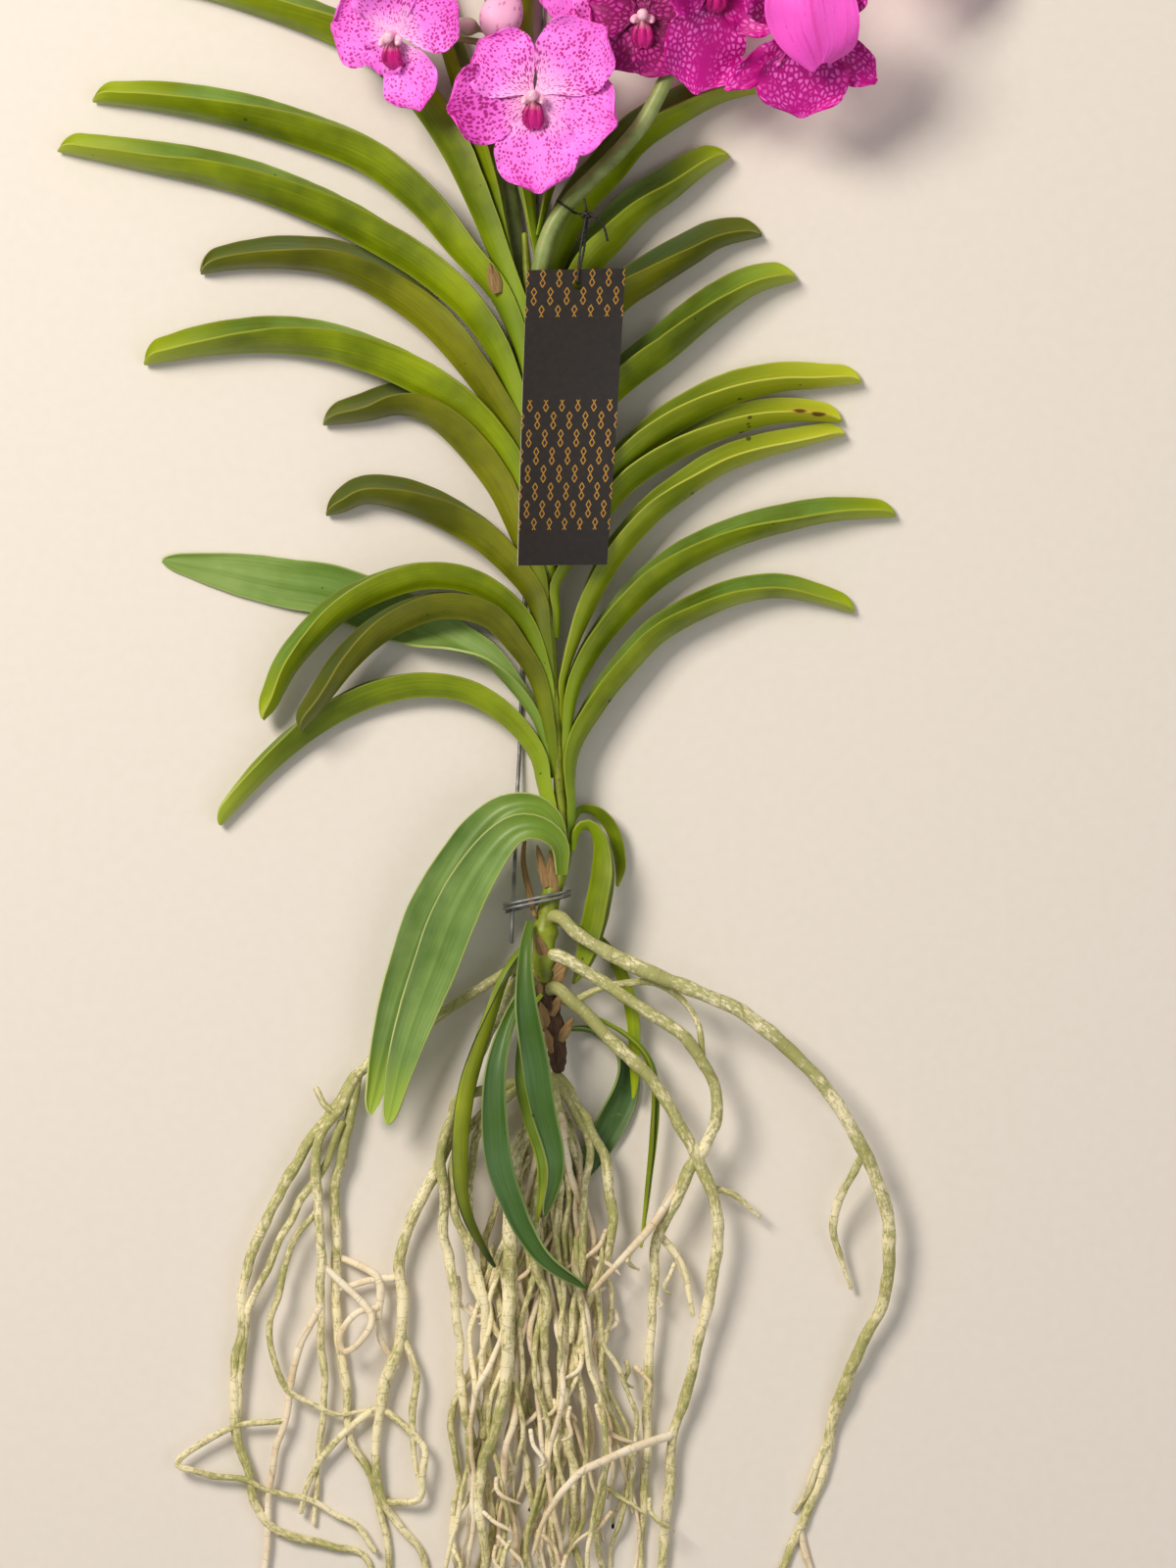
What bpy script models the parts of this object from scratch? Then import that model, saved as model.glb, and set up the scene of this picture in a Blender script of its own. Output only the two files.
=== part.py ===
"""Vanda orchid, bare-rooted, lying on its back with its wire hanger and tag.

Metres, +Z up. The plant's tip points to +Y and the side seen from the front faces +Z. The
origin is on the surface, under the middle of the plant's box.
"""

import math
import random

import bmesh
import bpy
from mathutils import Matrix, Vector
from mathutils.bvhtree import BVHTree

MM = 0.001

# Routes are laid out by hand on a grid over the plant's front, across and down, in steps of
# half a millimetre. Heights above the surface, radii and widths are in millimetres.
GRID_STEP = 0.5 * MM
GRID_MIDDLE = (525.5, 737)

STEM_HEIGHT = 18.0
STEM_RADIUS = 3.8
SHEATH_REACH = 7.2
SEAT_GAP = 0.3
SEAT_STEPS = 6
SEAT_ROUNDS = 8
FOOT_REACH = 45.0

LEAF_THICKNESS = 1.2 * MM
LEAF_STATIONS = 9

TEPAL_THICKNESS = 0.9 * MM
RIGHT_RACHIS_RADII = (4.4, 4.2, 4.2, 3.8, 3.2, 2.6, 1.8)
LEFT_RACHIS_RADII = (4.2, 4.0, 3.6, 3.2, 2.6, 1.8)
PEDICEL_RADII = (2.2, 1.6, 1.5, 1.4)

WIRE_RADIUS = 1.0
TAG_WIDTH = 50.0
TAG_THICKNESS = 0.7
TAG_HOLE_RADIUS = 2.2
STRING_RADIUS = 0.6

# The stem's middle line, from its foot to its top.
STEM_LINE = (
    (555, 1002), (555, 980), (556, 950), (562, 915), (570, 890), (574, 868), (572, 825),
    (570, 780), (566, 720), (560, 640), (553, 545), (545, 450), (541, 370), (539, 300),
    (536, 250), (535, 238),
)

# A strap leaf is a folded blade. From its base to its tip: the width of one half, the angle of
# each half to the fold's middle, how far the fold rolls its near half outward, and its height.
STRAP_WIDTH = (0.53, 0.77, 0.94, 1.0, 0.98, 0.8, 0.22)
STRAP_FOLD = (49, 36, 28, 26, 30, 33, 35)
LEFT_ROLL = (0, 0, 0, 8, 20, 30, 33)
RIGHT_ROLL = (0, 4, 14, 24, 32, 36, 36)
STRAP_HEIGHT = (18, 17, 14.5, 11, 7.5, 4.5, 3)


def spot(across, down, height):
    """Return the point at a place on the front grid and a height in millimetres."""
    return Vector((
        (across - GRID_MIDDLE[0]) * GRID_STEP,
        (GRID_MIDDLE[1] - down) * GRID_STEP,
        height * MM,
    ))


def blend(values, part):
    """Return the value a part of the way along evenly spaced values."""
    place = min(max(part, 0.0), 1.0) * (len(values) - 1)
    first = min(int(place), len(values) - 2)
    return values[first] + (values[first + 1] - values[first]) * (place - first)


def catmull_rom(points, steps=12):
    """Return a dense smooth line through the points."""
    ends = [2 * points[0] - points[1], *points, 2 * points[-1] - points[-2]]
    line = []
    for a, b, c, d in zip(ends, ends[1:], ends[2:], ends[3:]):
        for step in range(steps):
            t = step / steps
            line.append(0.5 * (
                2 * b + (c - a) * t + (2 * a - 5 * b + 4 * c - d) * t**2
                + (3 * b - a - 3 * c + d) * t**3
            ))
    return [*line, points[-1]]


def smooth(points, count):
    """Return count points, evenly spaced along the smooth line through the given points."""
    line = catmull_rom(points)
    reach = [0.0]
    for a, b in zip(line, line[1:]):
        reach.append(reach[-1] + (b - a).length)
    spaced = []
    segment = 0
    for index in range(count):
        goal = reach[-1] * index / (count - 1)
        while segment < len(line) - 2 and reach[segment + 1] < goal:
            segment += 1
        span = reach[segment + 1] - reach[segment]
        spaced.append(line[segment].lerp(line[segment + 1], (goal - reach[segment]) / span))
    return spaced


def stem_middle(down):
    """Return how far across the stem's middle line is at a place down the grid."""
    for (x_low, y_low), (x_high, y_high) in zip(STEM_LINE, STEM_LINE[1:]):
        if y_high <= down <= y_low:
            return x_low + (x_high - x_low) * (y_low - down) / (y_low - y_high)
    return STEM_LINE[-1][0] if down < STEM_LINE[-1][1] else STEM_LINE[0][0]


def material(name, colour, roughness, metallic=0.0):
    """Return the named material, made on its first use."""
    if name in bpy.data.materials:
        return bpy.data.materials[name]
    finish = bpy.data.materials.new(name)
    finish.use_nodes = True
    shader = finish.node_tree.nodes["Principled BSDF"]
    shader.inputs["Base Color"].default_value = (*colour, 1.0)
    shader.inputs["Roughness"].default_value = roughness
    shader.inputs["Metallic"].default_value = metallic
    return finish


def leaf_green():
    return material("leaf_green", (0.13, 0.25, 0.02), 0.42)


def stem_green():
    return material("stem_green", (0.22, 0.36, 0.05), 0.5)


def dry_husk():
    return material("dry_husk", (0.36, 0.22, 0.1), 0.85)


def root_skin():
    return material("root_skin", (0.52, 0.5, 0.3), 0.8)


def petal_light():
    return material("petal_light", (0.76, 0.2, 0.62), 0.55)


def petal_deep():
    return material("petal_deep", (0.55, 0.02, 0.32), 0.5)


def bud_pink():
    return material("bud_pink", (0.75, 0.3, 0.5), 0.5)


def galvanised_wire():
    return material("galvanised_wire", (0.42, 0.44, 0.46), 0.38, 1.0)


def tag_card():
    return material("tag_card", (0.03, 0.027, 0.024), 0.5)


def tie_string():
    return material("tie_string", (0.01, 0.01, 0.01), 0.75)


def place(name, mesh, finish=None):
    """Return a new object with this mesh, in the plant's collection."""
    body = bpy.data.objects.new(name, mesh)
    if finish:
        mesh.materials.clear()
        mesh.materials.append(finish)
    bpy.data.collections["vanda_orchid"].objects.link(body)
    return body


def baked(body):
    """Return the object's mesh with its modifiers applied."""
    bpy.context.view_layer.update()
    shape = body.evaluated_get(bpy.context.evaluated_depsgraph_get())
    return bpy.data.meshes.new_from_object(shape)


def weld(mesh, reach=0.01 * MM):
    """Join points that lie together, such as those of a rod's caps."""
    cage = bmesh.new()
    cage.from_mesh(mesh)
    bmesh.ops.remove_doubles(cage, verts=cage.verts, dist=reach)
    cage.to_mesh(mesh)
    cage.free()


def tube(name, points, radii, finish, resolution=1):
    """Return a round rod along the points, as a mesh, with a radius in millimetres at each."""
    route = bpy.data.curves.new(name, "CURVE")
    route.dimensions = "3D"
    route.bevel_depth = MM
    route.bevel_resolution = resolution
    route.use_fill_caps = True
    spline = route.splines.new("POLY")
    spline.points.add(len(points) - 1)
    for knot, point, radius in zip(spline.points, points, radii):
        knot.co = (*point, 1.0)
        knot.radius = radius
    sweep = place(name + "_route", route)
    mesh = baked(sweep)
    weld(mesh)
    bpy.data.objects.remove(sweep)
    return place(name, mesh, finish)


def fuse(name, pieces, finish, solver="MANIFOLD"):
    """Join overlapping closed pieces into one body."""
    body = pieces[0]
    if len(pieces) > 1:
        others = bpy.data.collections.new(name + "_others")
        bpy.context.scene.collection.children.link(others)
        for piece in pieces[1:]:
            bpy.data.collections["vanda_orchid"].objects.unlink(piece)
            others.objects.link(piece)
        union = body.modifiers.new("fuse", "BOOLEAN")
        union.operation = "UNION"
        union.operand_type = "COLLECTION"
        union.collection = others
        union.solver = solver
    mesh = baked(body)
    for piece in pieces:
        bpy.data.objects.remove(piece)
    if len(pieces) > 1:
        bpy.data.collections.remove(others)
    return place(name, mesh, finish)


def keep_above_surface(body, floor=0.0):
    """Flatten whatever dips under a height, so that it lies flat there."""
    for vertex in body.data.vertices:
        vertex.co.z = max(vertex.co.z, floor)


def blade(name, rows, thickness, finish):
    """Return a thin closed blade through rows of points, split alike on both faces."""
    cage = bmesh.new()
    columns = len(rows[0]) - 1
    bmesh.ops.create_grid(cage, x_segments=columns, y_segments=len(rows) - 1, size=1.0)
    for vertex in cage.verts:
        column = round((vertex.co.x + 1) / 2 * columns)
        row = round((vertex.co.y + 1) / 2 * (len(rows) - 1))
        vertex.co = rows[row][column]
    bmesh.ops.triangulate(cage, faces=cage.faces, quad_method="FIXED")
    mesh = bpy.data.meshes.new(name)
    cage.to_mesh(mesh)
    cage.free()
    body = place(name, mesh, finish)
    shell = body.modifiers.new("thickness", "SOLIDIFY")
    shell.thickness = thickness
    shell.offset = 0.0
    return body


def surface(body):
    """Return a body's evaluated skin, its corners and its edges, for measuring a gap."""
    bpy.context.view_layer.update()
    graph = bpy.context.evaluated_depsgraph_get()
    mesh = body.evaluated_get(graph).data
    corners = [vertex.co.copy() for vertex in mesh.vertices]
    edges = [tuple(edge.vertices) for edge in mesh.edges]
    return BVHTree.FromObject(body, graph), corners, edges


def nearest_gap(body, carrier):
    """Return the shortest way, as a vector, from a body to what carries it."""
    skin, corners, edges = surface(body)
    carrier_skin, carrier_corners, _ = surface(carrier)
    shortest = None
    for a, b in edges:
        for step in range(SEAT_STEPS):
            point = corners[a].lerp(corners[b], step / SEAT_STEPS)
            way = carrier_skin.find_nearest(point)[0] - point
            if shortest is None or way.length < shortest.length:
                shortest = way
    for corner in carrier_corners:
        way = corner - skin.find_nearest(corner)[0]
        if way.length < shortest.length:
            shortest = way
    return shortest


def seat_foot(body, carrier, foot, reach=FOOT_REACH):
    """Bring the foot of a piece to its seat, a small gap from what carries it.

    The points near the foot move, the nearest most.
    """
    ease = {}
    for vertex in body.data.vertices:
        ease[vertex.index] = max(0.0, 1 - (vertex.co - foot).length / (reach * MM))
    for _ in range(SEAT_ROUNDS):
        way = nearest_gap(body, bpy.data.objects[carrier])
        short = way.length - SEAT_GAP * MM
        if abs(short) < 0.02 * MM:
            break
        for vertex in body.data.vertices:
            vertex.co += way.normalized() * short * ease[vertex.index]
        body.data.update()


def folded_leaf(name, side, route, wide, fold=STRAP_FOLD, roll=None, width=STRAP_WIDTH):
    """Return a strap leaf: its fold runs along the route, and its halves open up from there."""
    roll = roll or (LEFT_ROLL if side < 0 else RIGHT_ROLL)
    keel = smooth([spot(*point) for point in route], LEAF_STATIONS)
    rows = []
    for index, point in enumerate(keel):
        part = index / (LEAF_STATIONS - 1)
        ahead = keel[min(index + 1, LEAF_STATIONS - 1)] - keel[max(index - 1, 0)]
        upper = Vector((-ahead.y, ahead.x, 0)).normalized() * side
        half = blend(width, part) * wide * MM
        near = math.radians(blend(fold, part) + blend(roll, part))
        far = math.radians(blend(fold, part) - blend(roll, part))
        rows.append((
            point + half * (upper * math.cos(far) - Vector((0, 0, math.sin(far)))),
            point,
            point + half * (upper * math.cos(near) + Vector((0, 0, math.sin(near)))),
        ))
    return blade(name, rows, LEAF_THICKNESS, leaf_green())


def sheathing_leaf(name, side, seat, keel, wide, heights=STRAP_HEIGHT, **shape):
    """Return a leaf whose base clasps the stem at a place down the grid."""
    reach = SHEATH_REACH * MM / GRID_STEP
    places = [(stem_middle(seat) + side * reach, seat), *keel]
    route = [
        (*place_on_grid, blend(heights, index / (len(places) - 1)))
        for index, place_on_grid in enumerate(places)
    ]
    return folded_leaf(name, side, route, wide, **shape)


# Leaves in two ranks up the stem: where the base clasps it, the line of the fold from there to
# the tip, the half width at the widest, and what differs from the common strap.
LEFT_LEAVES = {
    "leaf_left_01": (322, ((502, 268), (479, 214), (450, 155), (415, 103), (372, 62),
                           (320, 33), (230, 0), (150, -22)), 18.5, {}),
    "leaf_left_02": (362, ((501, 305), (461, 262), (421, 216), (372, 176), (322, 153),
                           (239, 126), (156, 108), (92, 99)), 19.5, {}),
    "leaf_left_03": (455, ((504, 375), (471, 325), (425, 285), (372, 252), (322, 226),
                           (239, 193), (140, 169), (56, 150)), 19.5, {}),
    "leaf_left_04": (495, ((518, 450), (488, 405), (438, 345), (388, 305), (339, 279),
                           (289, 271), (239, 271), (203, 276)), 19.5, {}),
    "leaf_left_05": (530, ((510, 473), (470, 430), (405, 392), (355, 372), (322, 363),
                           (272, 357), (206, 360), (145, 369)), 20.0, {}),
    "leaf_left_06": (590, ((525, 557), (503, 510), (481, 478), (455, 448), (431, 428),
                           (405, 421), (372, 427), (329, 431)), 18.0, {}),
    "leaf_left_07": (650, ((535, 610), (494, 567), (462, 545), (416, 522), (375, 512),
                           (350, 520), (332, 524)), 17.5, {}),
    "leaf_left_09": (690, ((533, 648), (510, 622), (475, 604), (431, 601), (387, 614),
                           (353, 632), (325, 657), (300, 686), (281, 720), (268, 734)), 15.5,
                     {"heights": (18, 18, 17.5, 16, 14, 12, 11)}),
    "leaf_left_10": (738, ((539, 692), (517, 662), (494, 639), (462, 631), (431, 636),
                           (394, 654), (362, 682), (331, 720), (307, 746)), 15.0,
                     {"heights": (18, 18.5, 18.5, 18, 18, 18, 18)}),
    "leaf_left_11": (838, ((548, 800), (541, 773), (519, 745), (487, 722), (456, 712),
                           (416, 712), (369, 725), (322, 751), (275, 789), (223, 842)), 14.0,
                     {"heights": (18, 17, 13.5, 10.5, 8, 6.5, 5), "roll": (0, 0, 0, 4, 8, 10, 10)}),
}
RIGHT_LEAVES = {
    "leaf_right_01": (335, ((575, 275), (600, 220), (634, 181), (657, 152), (687, 129),
                            (735, 101), (780, 88)), 20.0, {}),
    "leaf_right_02": (372, ((585, 325), (611, 278), (631, 254), (659, 223), (690, 199),
                            (718, 175), (745, 156)), 19.0, {}),
    "leaf_right_03": (415, ((590, 365), (639, 315), (674, 290), (710, 266), (738, 248),
                            (778, 237)), 18.0, {}),
    "leaf_right_04": (475, ((600, 440), (641, 400), (686, 365), (718, 337), (746, 314),
                            (777, 294), (814, 282)), 18.5, {}),
    "leaf_right_05": (550, ((600, 520), (637, 485), (670, 456), (706, 432), (750, 410),
                            (797, 397), (836, 393), (880, 388)), 16.5, {}),
    "leaf_right_06": (595, ((598, 560), (633, 513), (659, 489), (690, 469), (730, 449),
                            (777, 433), (817, 427), (860, 428)), 15.0, {}),
    "leaf_right_07": (690, ((600, 635), (631, 578), (667, 535), (698, 509), (738, 482),
                            (777, 466), (817, 454), (863, 441)), 13.5, {}),
    "leaf_right_08": (748, ((591, 705), (611, 669), (639, 634), (674, 600), (714, 574),
                            (761, 553), (809, 539), (856, 529), (915, 525)), 15.0, {}),
    "leaf_right_09": (825, ((590, 770), (619, 720), (647, 685), (678, 653), (718, 630),
                            (757, 614), (797, 608), (836, 614), (872, 624)), 13.5, {}),
}

# Leaves with a narrow foot: the side their upper face turns to, the line of the fold with its
# heights, the half width, and the fold and roll from base to tip.
FOOT_WIDTH = (0.24, 0.55, 0.88, 1.0, 0.98, 0.8, 0.25)
NARROW_FOLD = (50, 38, 32, 30, 30, 32, 35)
FREE_LEAVES = {
    "leaf_left_08": (-1, ((557, 790, 18), (545, 737, 16), (500, 681, 11), (466, 659, 7),
                          (430, 641, 4), (395, 624, 2.2), (337, 602, 1.6), (291, 594, 1.6),
                          (244, 585, 1.6), (163, 570, 1.6)), 13.5,
                     (45, 35, 45, 80, 82, 84, 84), (0, 10, 50, 84, 88, 88, 88)),
    "leaf_left_12": (-1, ((573, 866, 24.4), (566, 838, 30), (545, 822, 31), (515, 826, 30),
                          (488, 850, 28), (462, 890, 26), (440, 930, 23), (424, 970, 21),
                          (405, 1025, 18), (390, 1080, 16), (377, 1137, 14)), 12.5,
                     (70, 75, 78, 78, 78, 78, 78), (80, 80, 84, 86, 88, 90, 90)),
    "leaf_left_13": (-1, ((573, 892, 25), (571, 862, 34), (553, 846, 37), (530, 845, 36),
                          (508, 862, 35), (482, 900, 33), (462, 940, 31), (445, 985, 29),
                          (428, 1030, 26), (410, 1085, 24), (396, 1147, 23)), 12.5,
                     (70, 75, 78, 78, 78, 78, 78), (80, 80, 84, 86, 88, 90, 90)),
    "leaf_right_10": (1, ((586, 868, 18), (591, 851, 19), (600, 846, 19), (606, 862, 18),
                          (603, 895, 18), (597, 925, 17), (590, 965, 15.5), (585, 1004, 13)),
                      13.5, (60, 45, 32, 28, 28, 30, 35), (0, 0, 4, 8, 10, 12, 12)),
    "leaf_right_11": (1, ((583, 846, 9), (592, 830, 8), (606, 832, 7), (620, 850, 6),
                          (628, 880, 5), (630, 905, 4)), 7.0, NARROW_FOLD, (0, 0, 0, 0, 0, 0)),
    "leaf_right_12": (1, ((568, 944, 11), (588, 948, 7), (612, 965, 6), (630, 1000, 6.5),
                          (640, 1040, 8), (643, 1080, 9), (646, 1122, 9)), 7.0, NARROW_FOLD,
                      (0, 0, 0, 0, 0, 0)),
    "leaf_right_13": (1, ((574, 1024, 16), (600, 1036, 15), (636, 1056, 17), (658, 1080, 16),
                          (666, 1110, 15), (664, 1160, 13), (660, 1209, 11), (654, 1275, 9)),
                      3.6, (60, 50, 45, 45, 45, 45, 45), (0, 10, 20, 30, 30, 30, 30)),
    "leaf_right_14": (1, ((578, 1052, 10), (604, 1056, 4), (632, 1078, 3), (636, 1110, 2.6),
                          (622, 1150, 2.4), (598, 1190, 2.2), (567, 1227, 2.2)), 9.0,
                      (50, 50, 60, 70, 75, 75, 75), (0, 20, 50, 70, 80, 84, 84)),
    "leaf_low_01": (-1, ((540, 962, 19), (520, 994, 26), (505, 1041, 30), (492, 1084, 32),
                         (484, 1119, 33), (478, 1173, 33), (481, 1232, 33), (506, 1290, 33)),
                    10.5, (50, 40, 40, 42, 42, 42, 42), (40, 20, 0, -10, -10, 0, 0)),
    "leaf_low_02": (-1, ((547, 1000, 24.4), (534, 1012, 29), (519, 1042, 34), (508, 1085, 38),
                         (506, 1130, 39), (510, 1180, 39), (523, 1222, 39), (538, 1255, 38),
                         (560, 1284, 38), (599, 1311, 37)), 7.5, (60, 60, 65, 70, 65, 65, 65),
                    (80, 80, 80, 80, 80, 80, 80)),
    "leaf_low_03": (-1, ((541, 940, 25), (537, 970, 37), (538, 1022, 41), (547, 1075, 40),
                         (555, 1128, 39), (566, 1172, 38), (567, 1200, 38), (556, 1238, 37)),
                    8.0, (60, 60, 60, 60, 60, 60, 60), (80, 80, 80, 80, 80, 80, 80)),
    "leaf_low_04": (-1, ((553, 1014, 24), (536, 1040, 27), (533, 1098, 29), (541, 1137, 29),
                         (553, 1176, 29), (554, 1209, 29), (548, 1246, 29)), 4.0,
                    (60, 60, 60, 60, 60, 60, 60), (60, 60, 60, 60, 60, 60, 60)),
    "leaf_crown_01": (-1, ((524, 292, 18), (510, 240, 17), (497, 195, 16), (482, 150, 15),
                           (464, 95, 14), (442, 20, 13), (414, -90, 12)), 12.5,
                      (48, 36, 32, 34, 38, 38, 38), (0, 6, 14, 20, 24, 24, 24)),
    "leaf_crown_02": (1, ((553, 278, 18), (548, 225, 15), (543, 165, 12), (542, 100, 11),
                          (543, 40, 10), (546, -60, 9)), 12.0,
                      (48, 40, 36, 40, 42, 42, 42), (0, 4, 6, 6, 6, 6, 6)),
    "leaf_crown_03": (1, ((550, 240, 20), (561, 205, 22), (576, 160, 21), (591, 110, 20),
                          (603, 60, 18)), 8.0, (48, 44, 40, 40, 42, 42, 42),
                      (0, 0, 0, 0, 0, 0, 0)),
}


# Leaves whose foot doesn't sit on the green stem, and what carries each.
CARRIERS = {
    "leaf_right_13": "stem_old",
    "leaf_right_14": "stem_old",
    "leaf_low_02": "stem_old",
    "leaf_low_04": "stem_old",
    "leaf_crown_03": "leaf_crown_02",
}


def make_leaves():
    for side, rank in ((-1, LEFT_LEAVES), (1, RIGHT_LEAVES)):
        for name, (seat, keel, wide, shape) in rank.items():
            leaf = sheathing_leaf(name, side, seat, keel, wide, **shape)
            seat_foot(leaf, "stem", leaf.data.vertices[0].co.copy())
    for name, (side, route, wide, fold, roll) in FREE_LEAVES.items():
        leaf = folded_leaf(name, side, route, wide, fold, roll, FOOT_WIDTH)
        seat_foot(leaf, CARRIERS.get(name, "stem"), leaf.data.vertices[0].co.copy())


def make_stem():
    """Make the leafy stem with its swollen nodes, and the dry husk and stump at its foot."""
    points = [spot(x, y, STEM_HEIGHT) for x, y in STEM_LINE]
    radii = [5.0, 5.8, 4.8, 4.9, 4.2] + [STEM_RADIUS] * (len(points) - 7) + [3.2, 2.0]
    tube("stem", smooth(points, 20), [blend(radii, i / 19) for i in range(20)],
         stem_green(), 2)
    stump = [(555, STUMP_TOP), (555.3, 1011), (560, 1030), (567, 1056), (570, 1092.4)]
    tube("stem_old", smooth([spot(x, y, STEM_HEIGHT) for x, y in stump], 9),
         (5.6, 5.2, 6.2, 5.0, 5.4, 4.6, 4.8, 4.2, 3.0), dry_husk(), 2)
    stalk = [(536, 850, 15), (534, 880, 14), (541, 915, 16), (546, 935, 24.5)]
    husk = tube("husk_stalk", smooth([spot(*point) for point in reversed(stalk)], 7),
                (1.0, 1.6, 1.8, 1.6, 1.4, 1.2, 0.8), dry_husk())
    seat_foot(husk, "stem", spot(*stalk[-1]))


ROOT_SPACING = 26.0
THIN_ROOT_RADIUS = 2.3
# A root's end stands on the stem's skin, and runs straight out from there for a little way.
ROOT_SEAT_REACH = 6.9
ROOT_NECK = 6.0
STUMP_TOP = 1003.6


def root(name, route, heights, radii, seat=None):
    """Return one root along a route on the grid, with its heights and radii blended along it.

    A seat is the direction, in degrees from the right toward the front, in which the root
    leaves the stem at the route's first point.
    """
    places = [spot(x, y, blend(heights, i / (len(route) - 1))) for i, (x, y) in enumerate(route)]
    if seat is not None:
        middle = spot(stem_middle(route[0][1]), route[0][1], STEM_HEIGHT)
        out = Vector((math.cos(math.radians(seat)), 0, math.sin(math.radians(seat))))
        reach = ROOT_SEAT_REACH * MM
        places[:1] = [middle + out * reach, middle + out * (reach + ROOT_NECK * MM)]
    length = sum((b - a).length for a, b in zip(places, places[1:]))
    count = max(4, round(length / (ROOT_SPACING * MM)) + 1)
    line = smooth(places, count)
    if seat is not None:
        line = [places[0], *smooth(places[1:], count - 1)]
    thick = [blend(radii, i / (count - 1)) for i in range(count)]
    sides = 1 if max(radii) > THIN_ROOT_RADIUS else 0
    strand = tube(name, line, thick, root_skin(), sides)
    if seat is not None:
        seat_foot(strand, "stem" if route[0][1] < STUMP_TOP else "stem_old", places[0], 20.0)
    return strand


ROOTS_RIGHT_LONG = (
    (((575, 936), (590, 954), (629, 976), (674, 996), (719, 1014), (763, 1036), (799, 1065),
      (830, 1096), (857, 1132), (879, 1172), (897, 1208), (906, 1248), (908, 1288), (902, 1329),
      (879, 1378), (861, 1422), (848, 1467), (839, 1516), (817, 1565), (797, 1620),
      (786, 1690)), (26, 33, 28, 20, 11, 1.4, 1.4), (3.6, 3.8, 3.6, 3.4, 3.2, 2.8, 1.6), 50),
    (((880, 1178), (862, 1215), (850, 1248), (856, 1275), (870, 1318)), (21, 12, 5),
     (2.2, 2.2, 1.2)),
    (((846, 1478), (834, 1500), (824, 1530), (812, 1548)), (4, 3, 2), (2.0, 1.9, 1.0)),
    (((818, 1566), (826, 1600), (842, 1640)), (1.6, 1.6, 1.6), (2.0, 1.8, 1.0)),
)
ROOTS_RIGHT = (
    (((560, 1010), (598, 1036), (638, 1074), (674, 1114), (701, 1163), (723, 1208), (732, 1248),
      (730, 1288), (721, 1338), (710, 1382), (701, 1427), (687, 1467), (683, 1525), (676, 1600),
      (668, 1700)), (20, 24, 21, 16, 11, 6, 1.0), (3.4, 3.6, 3.2, 3.0, 2.8, 2.4, 1.3), 40),
    (((556, 976), (612, 1000), (656, 1029), (692, 1052), (714, 1079), (730, 1110), (730, 1141),
      (719, 1172), (705, 1190), (683, 1239), (669, 1271), (667, 1324), (663, 1382), (661, 1436),
      (660, 1480), (656, 1560), (650, 1660)), (23, 27, 25, 22, 18, 10, 5, 1.0),
     (3.3, 3.2, 3.0, 2.6, 2.4, 2.2, 1.2), 35),
    (((588, 1020), (616, 1007), (638, 1003), (669, 1003), (696, 1018), (712, 1045),
      (718, 1082)), (22, 26, 26, 24, 21), (1.8, 2.0, 1.8, 1.6)),
    (((687, 1467), (652, 1476), (616, 1489), (585, 1507), (558, 1543), (544, 1585)),
     (8, 22, 26, 26, 25), (2.2, 2.2, 1.8, 1.0)),
    (((724, 1212), (750, 1221), (777, 1244)), (17, 13, 9), (2.0, 1.7, 1.0)),
    (((674, 1262), (696, 1293), (708, 1345)), (13.5, 12, 12), (2.0, 2.2, 1.2)),
    (((706, 1190), (678, 1230), (656, 1262), (629, 1288), (600, 1320)), (16, 22, 26, 27),
     (2.2, 2.2, 1.2)),
)
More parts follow.
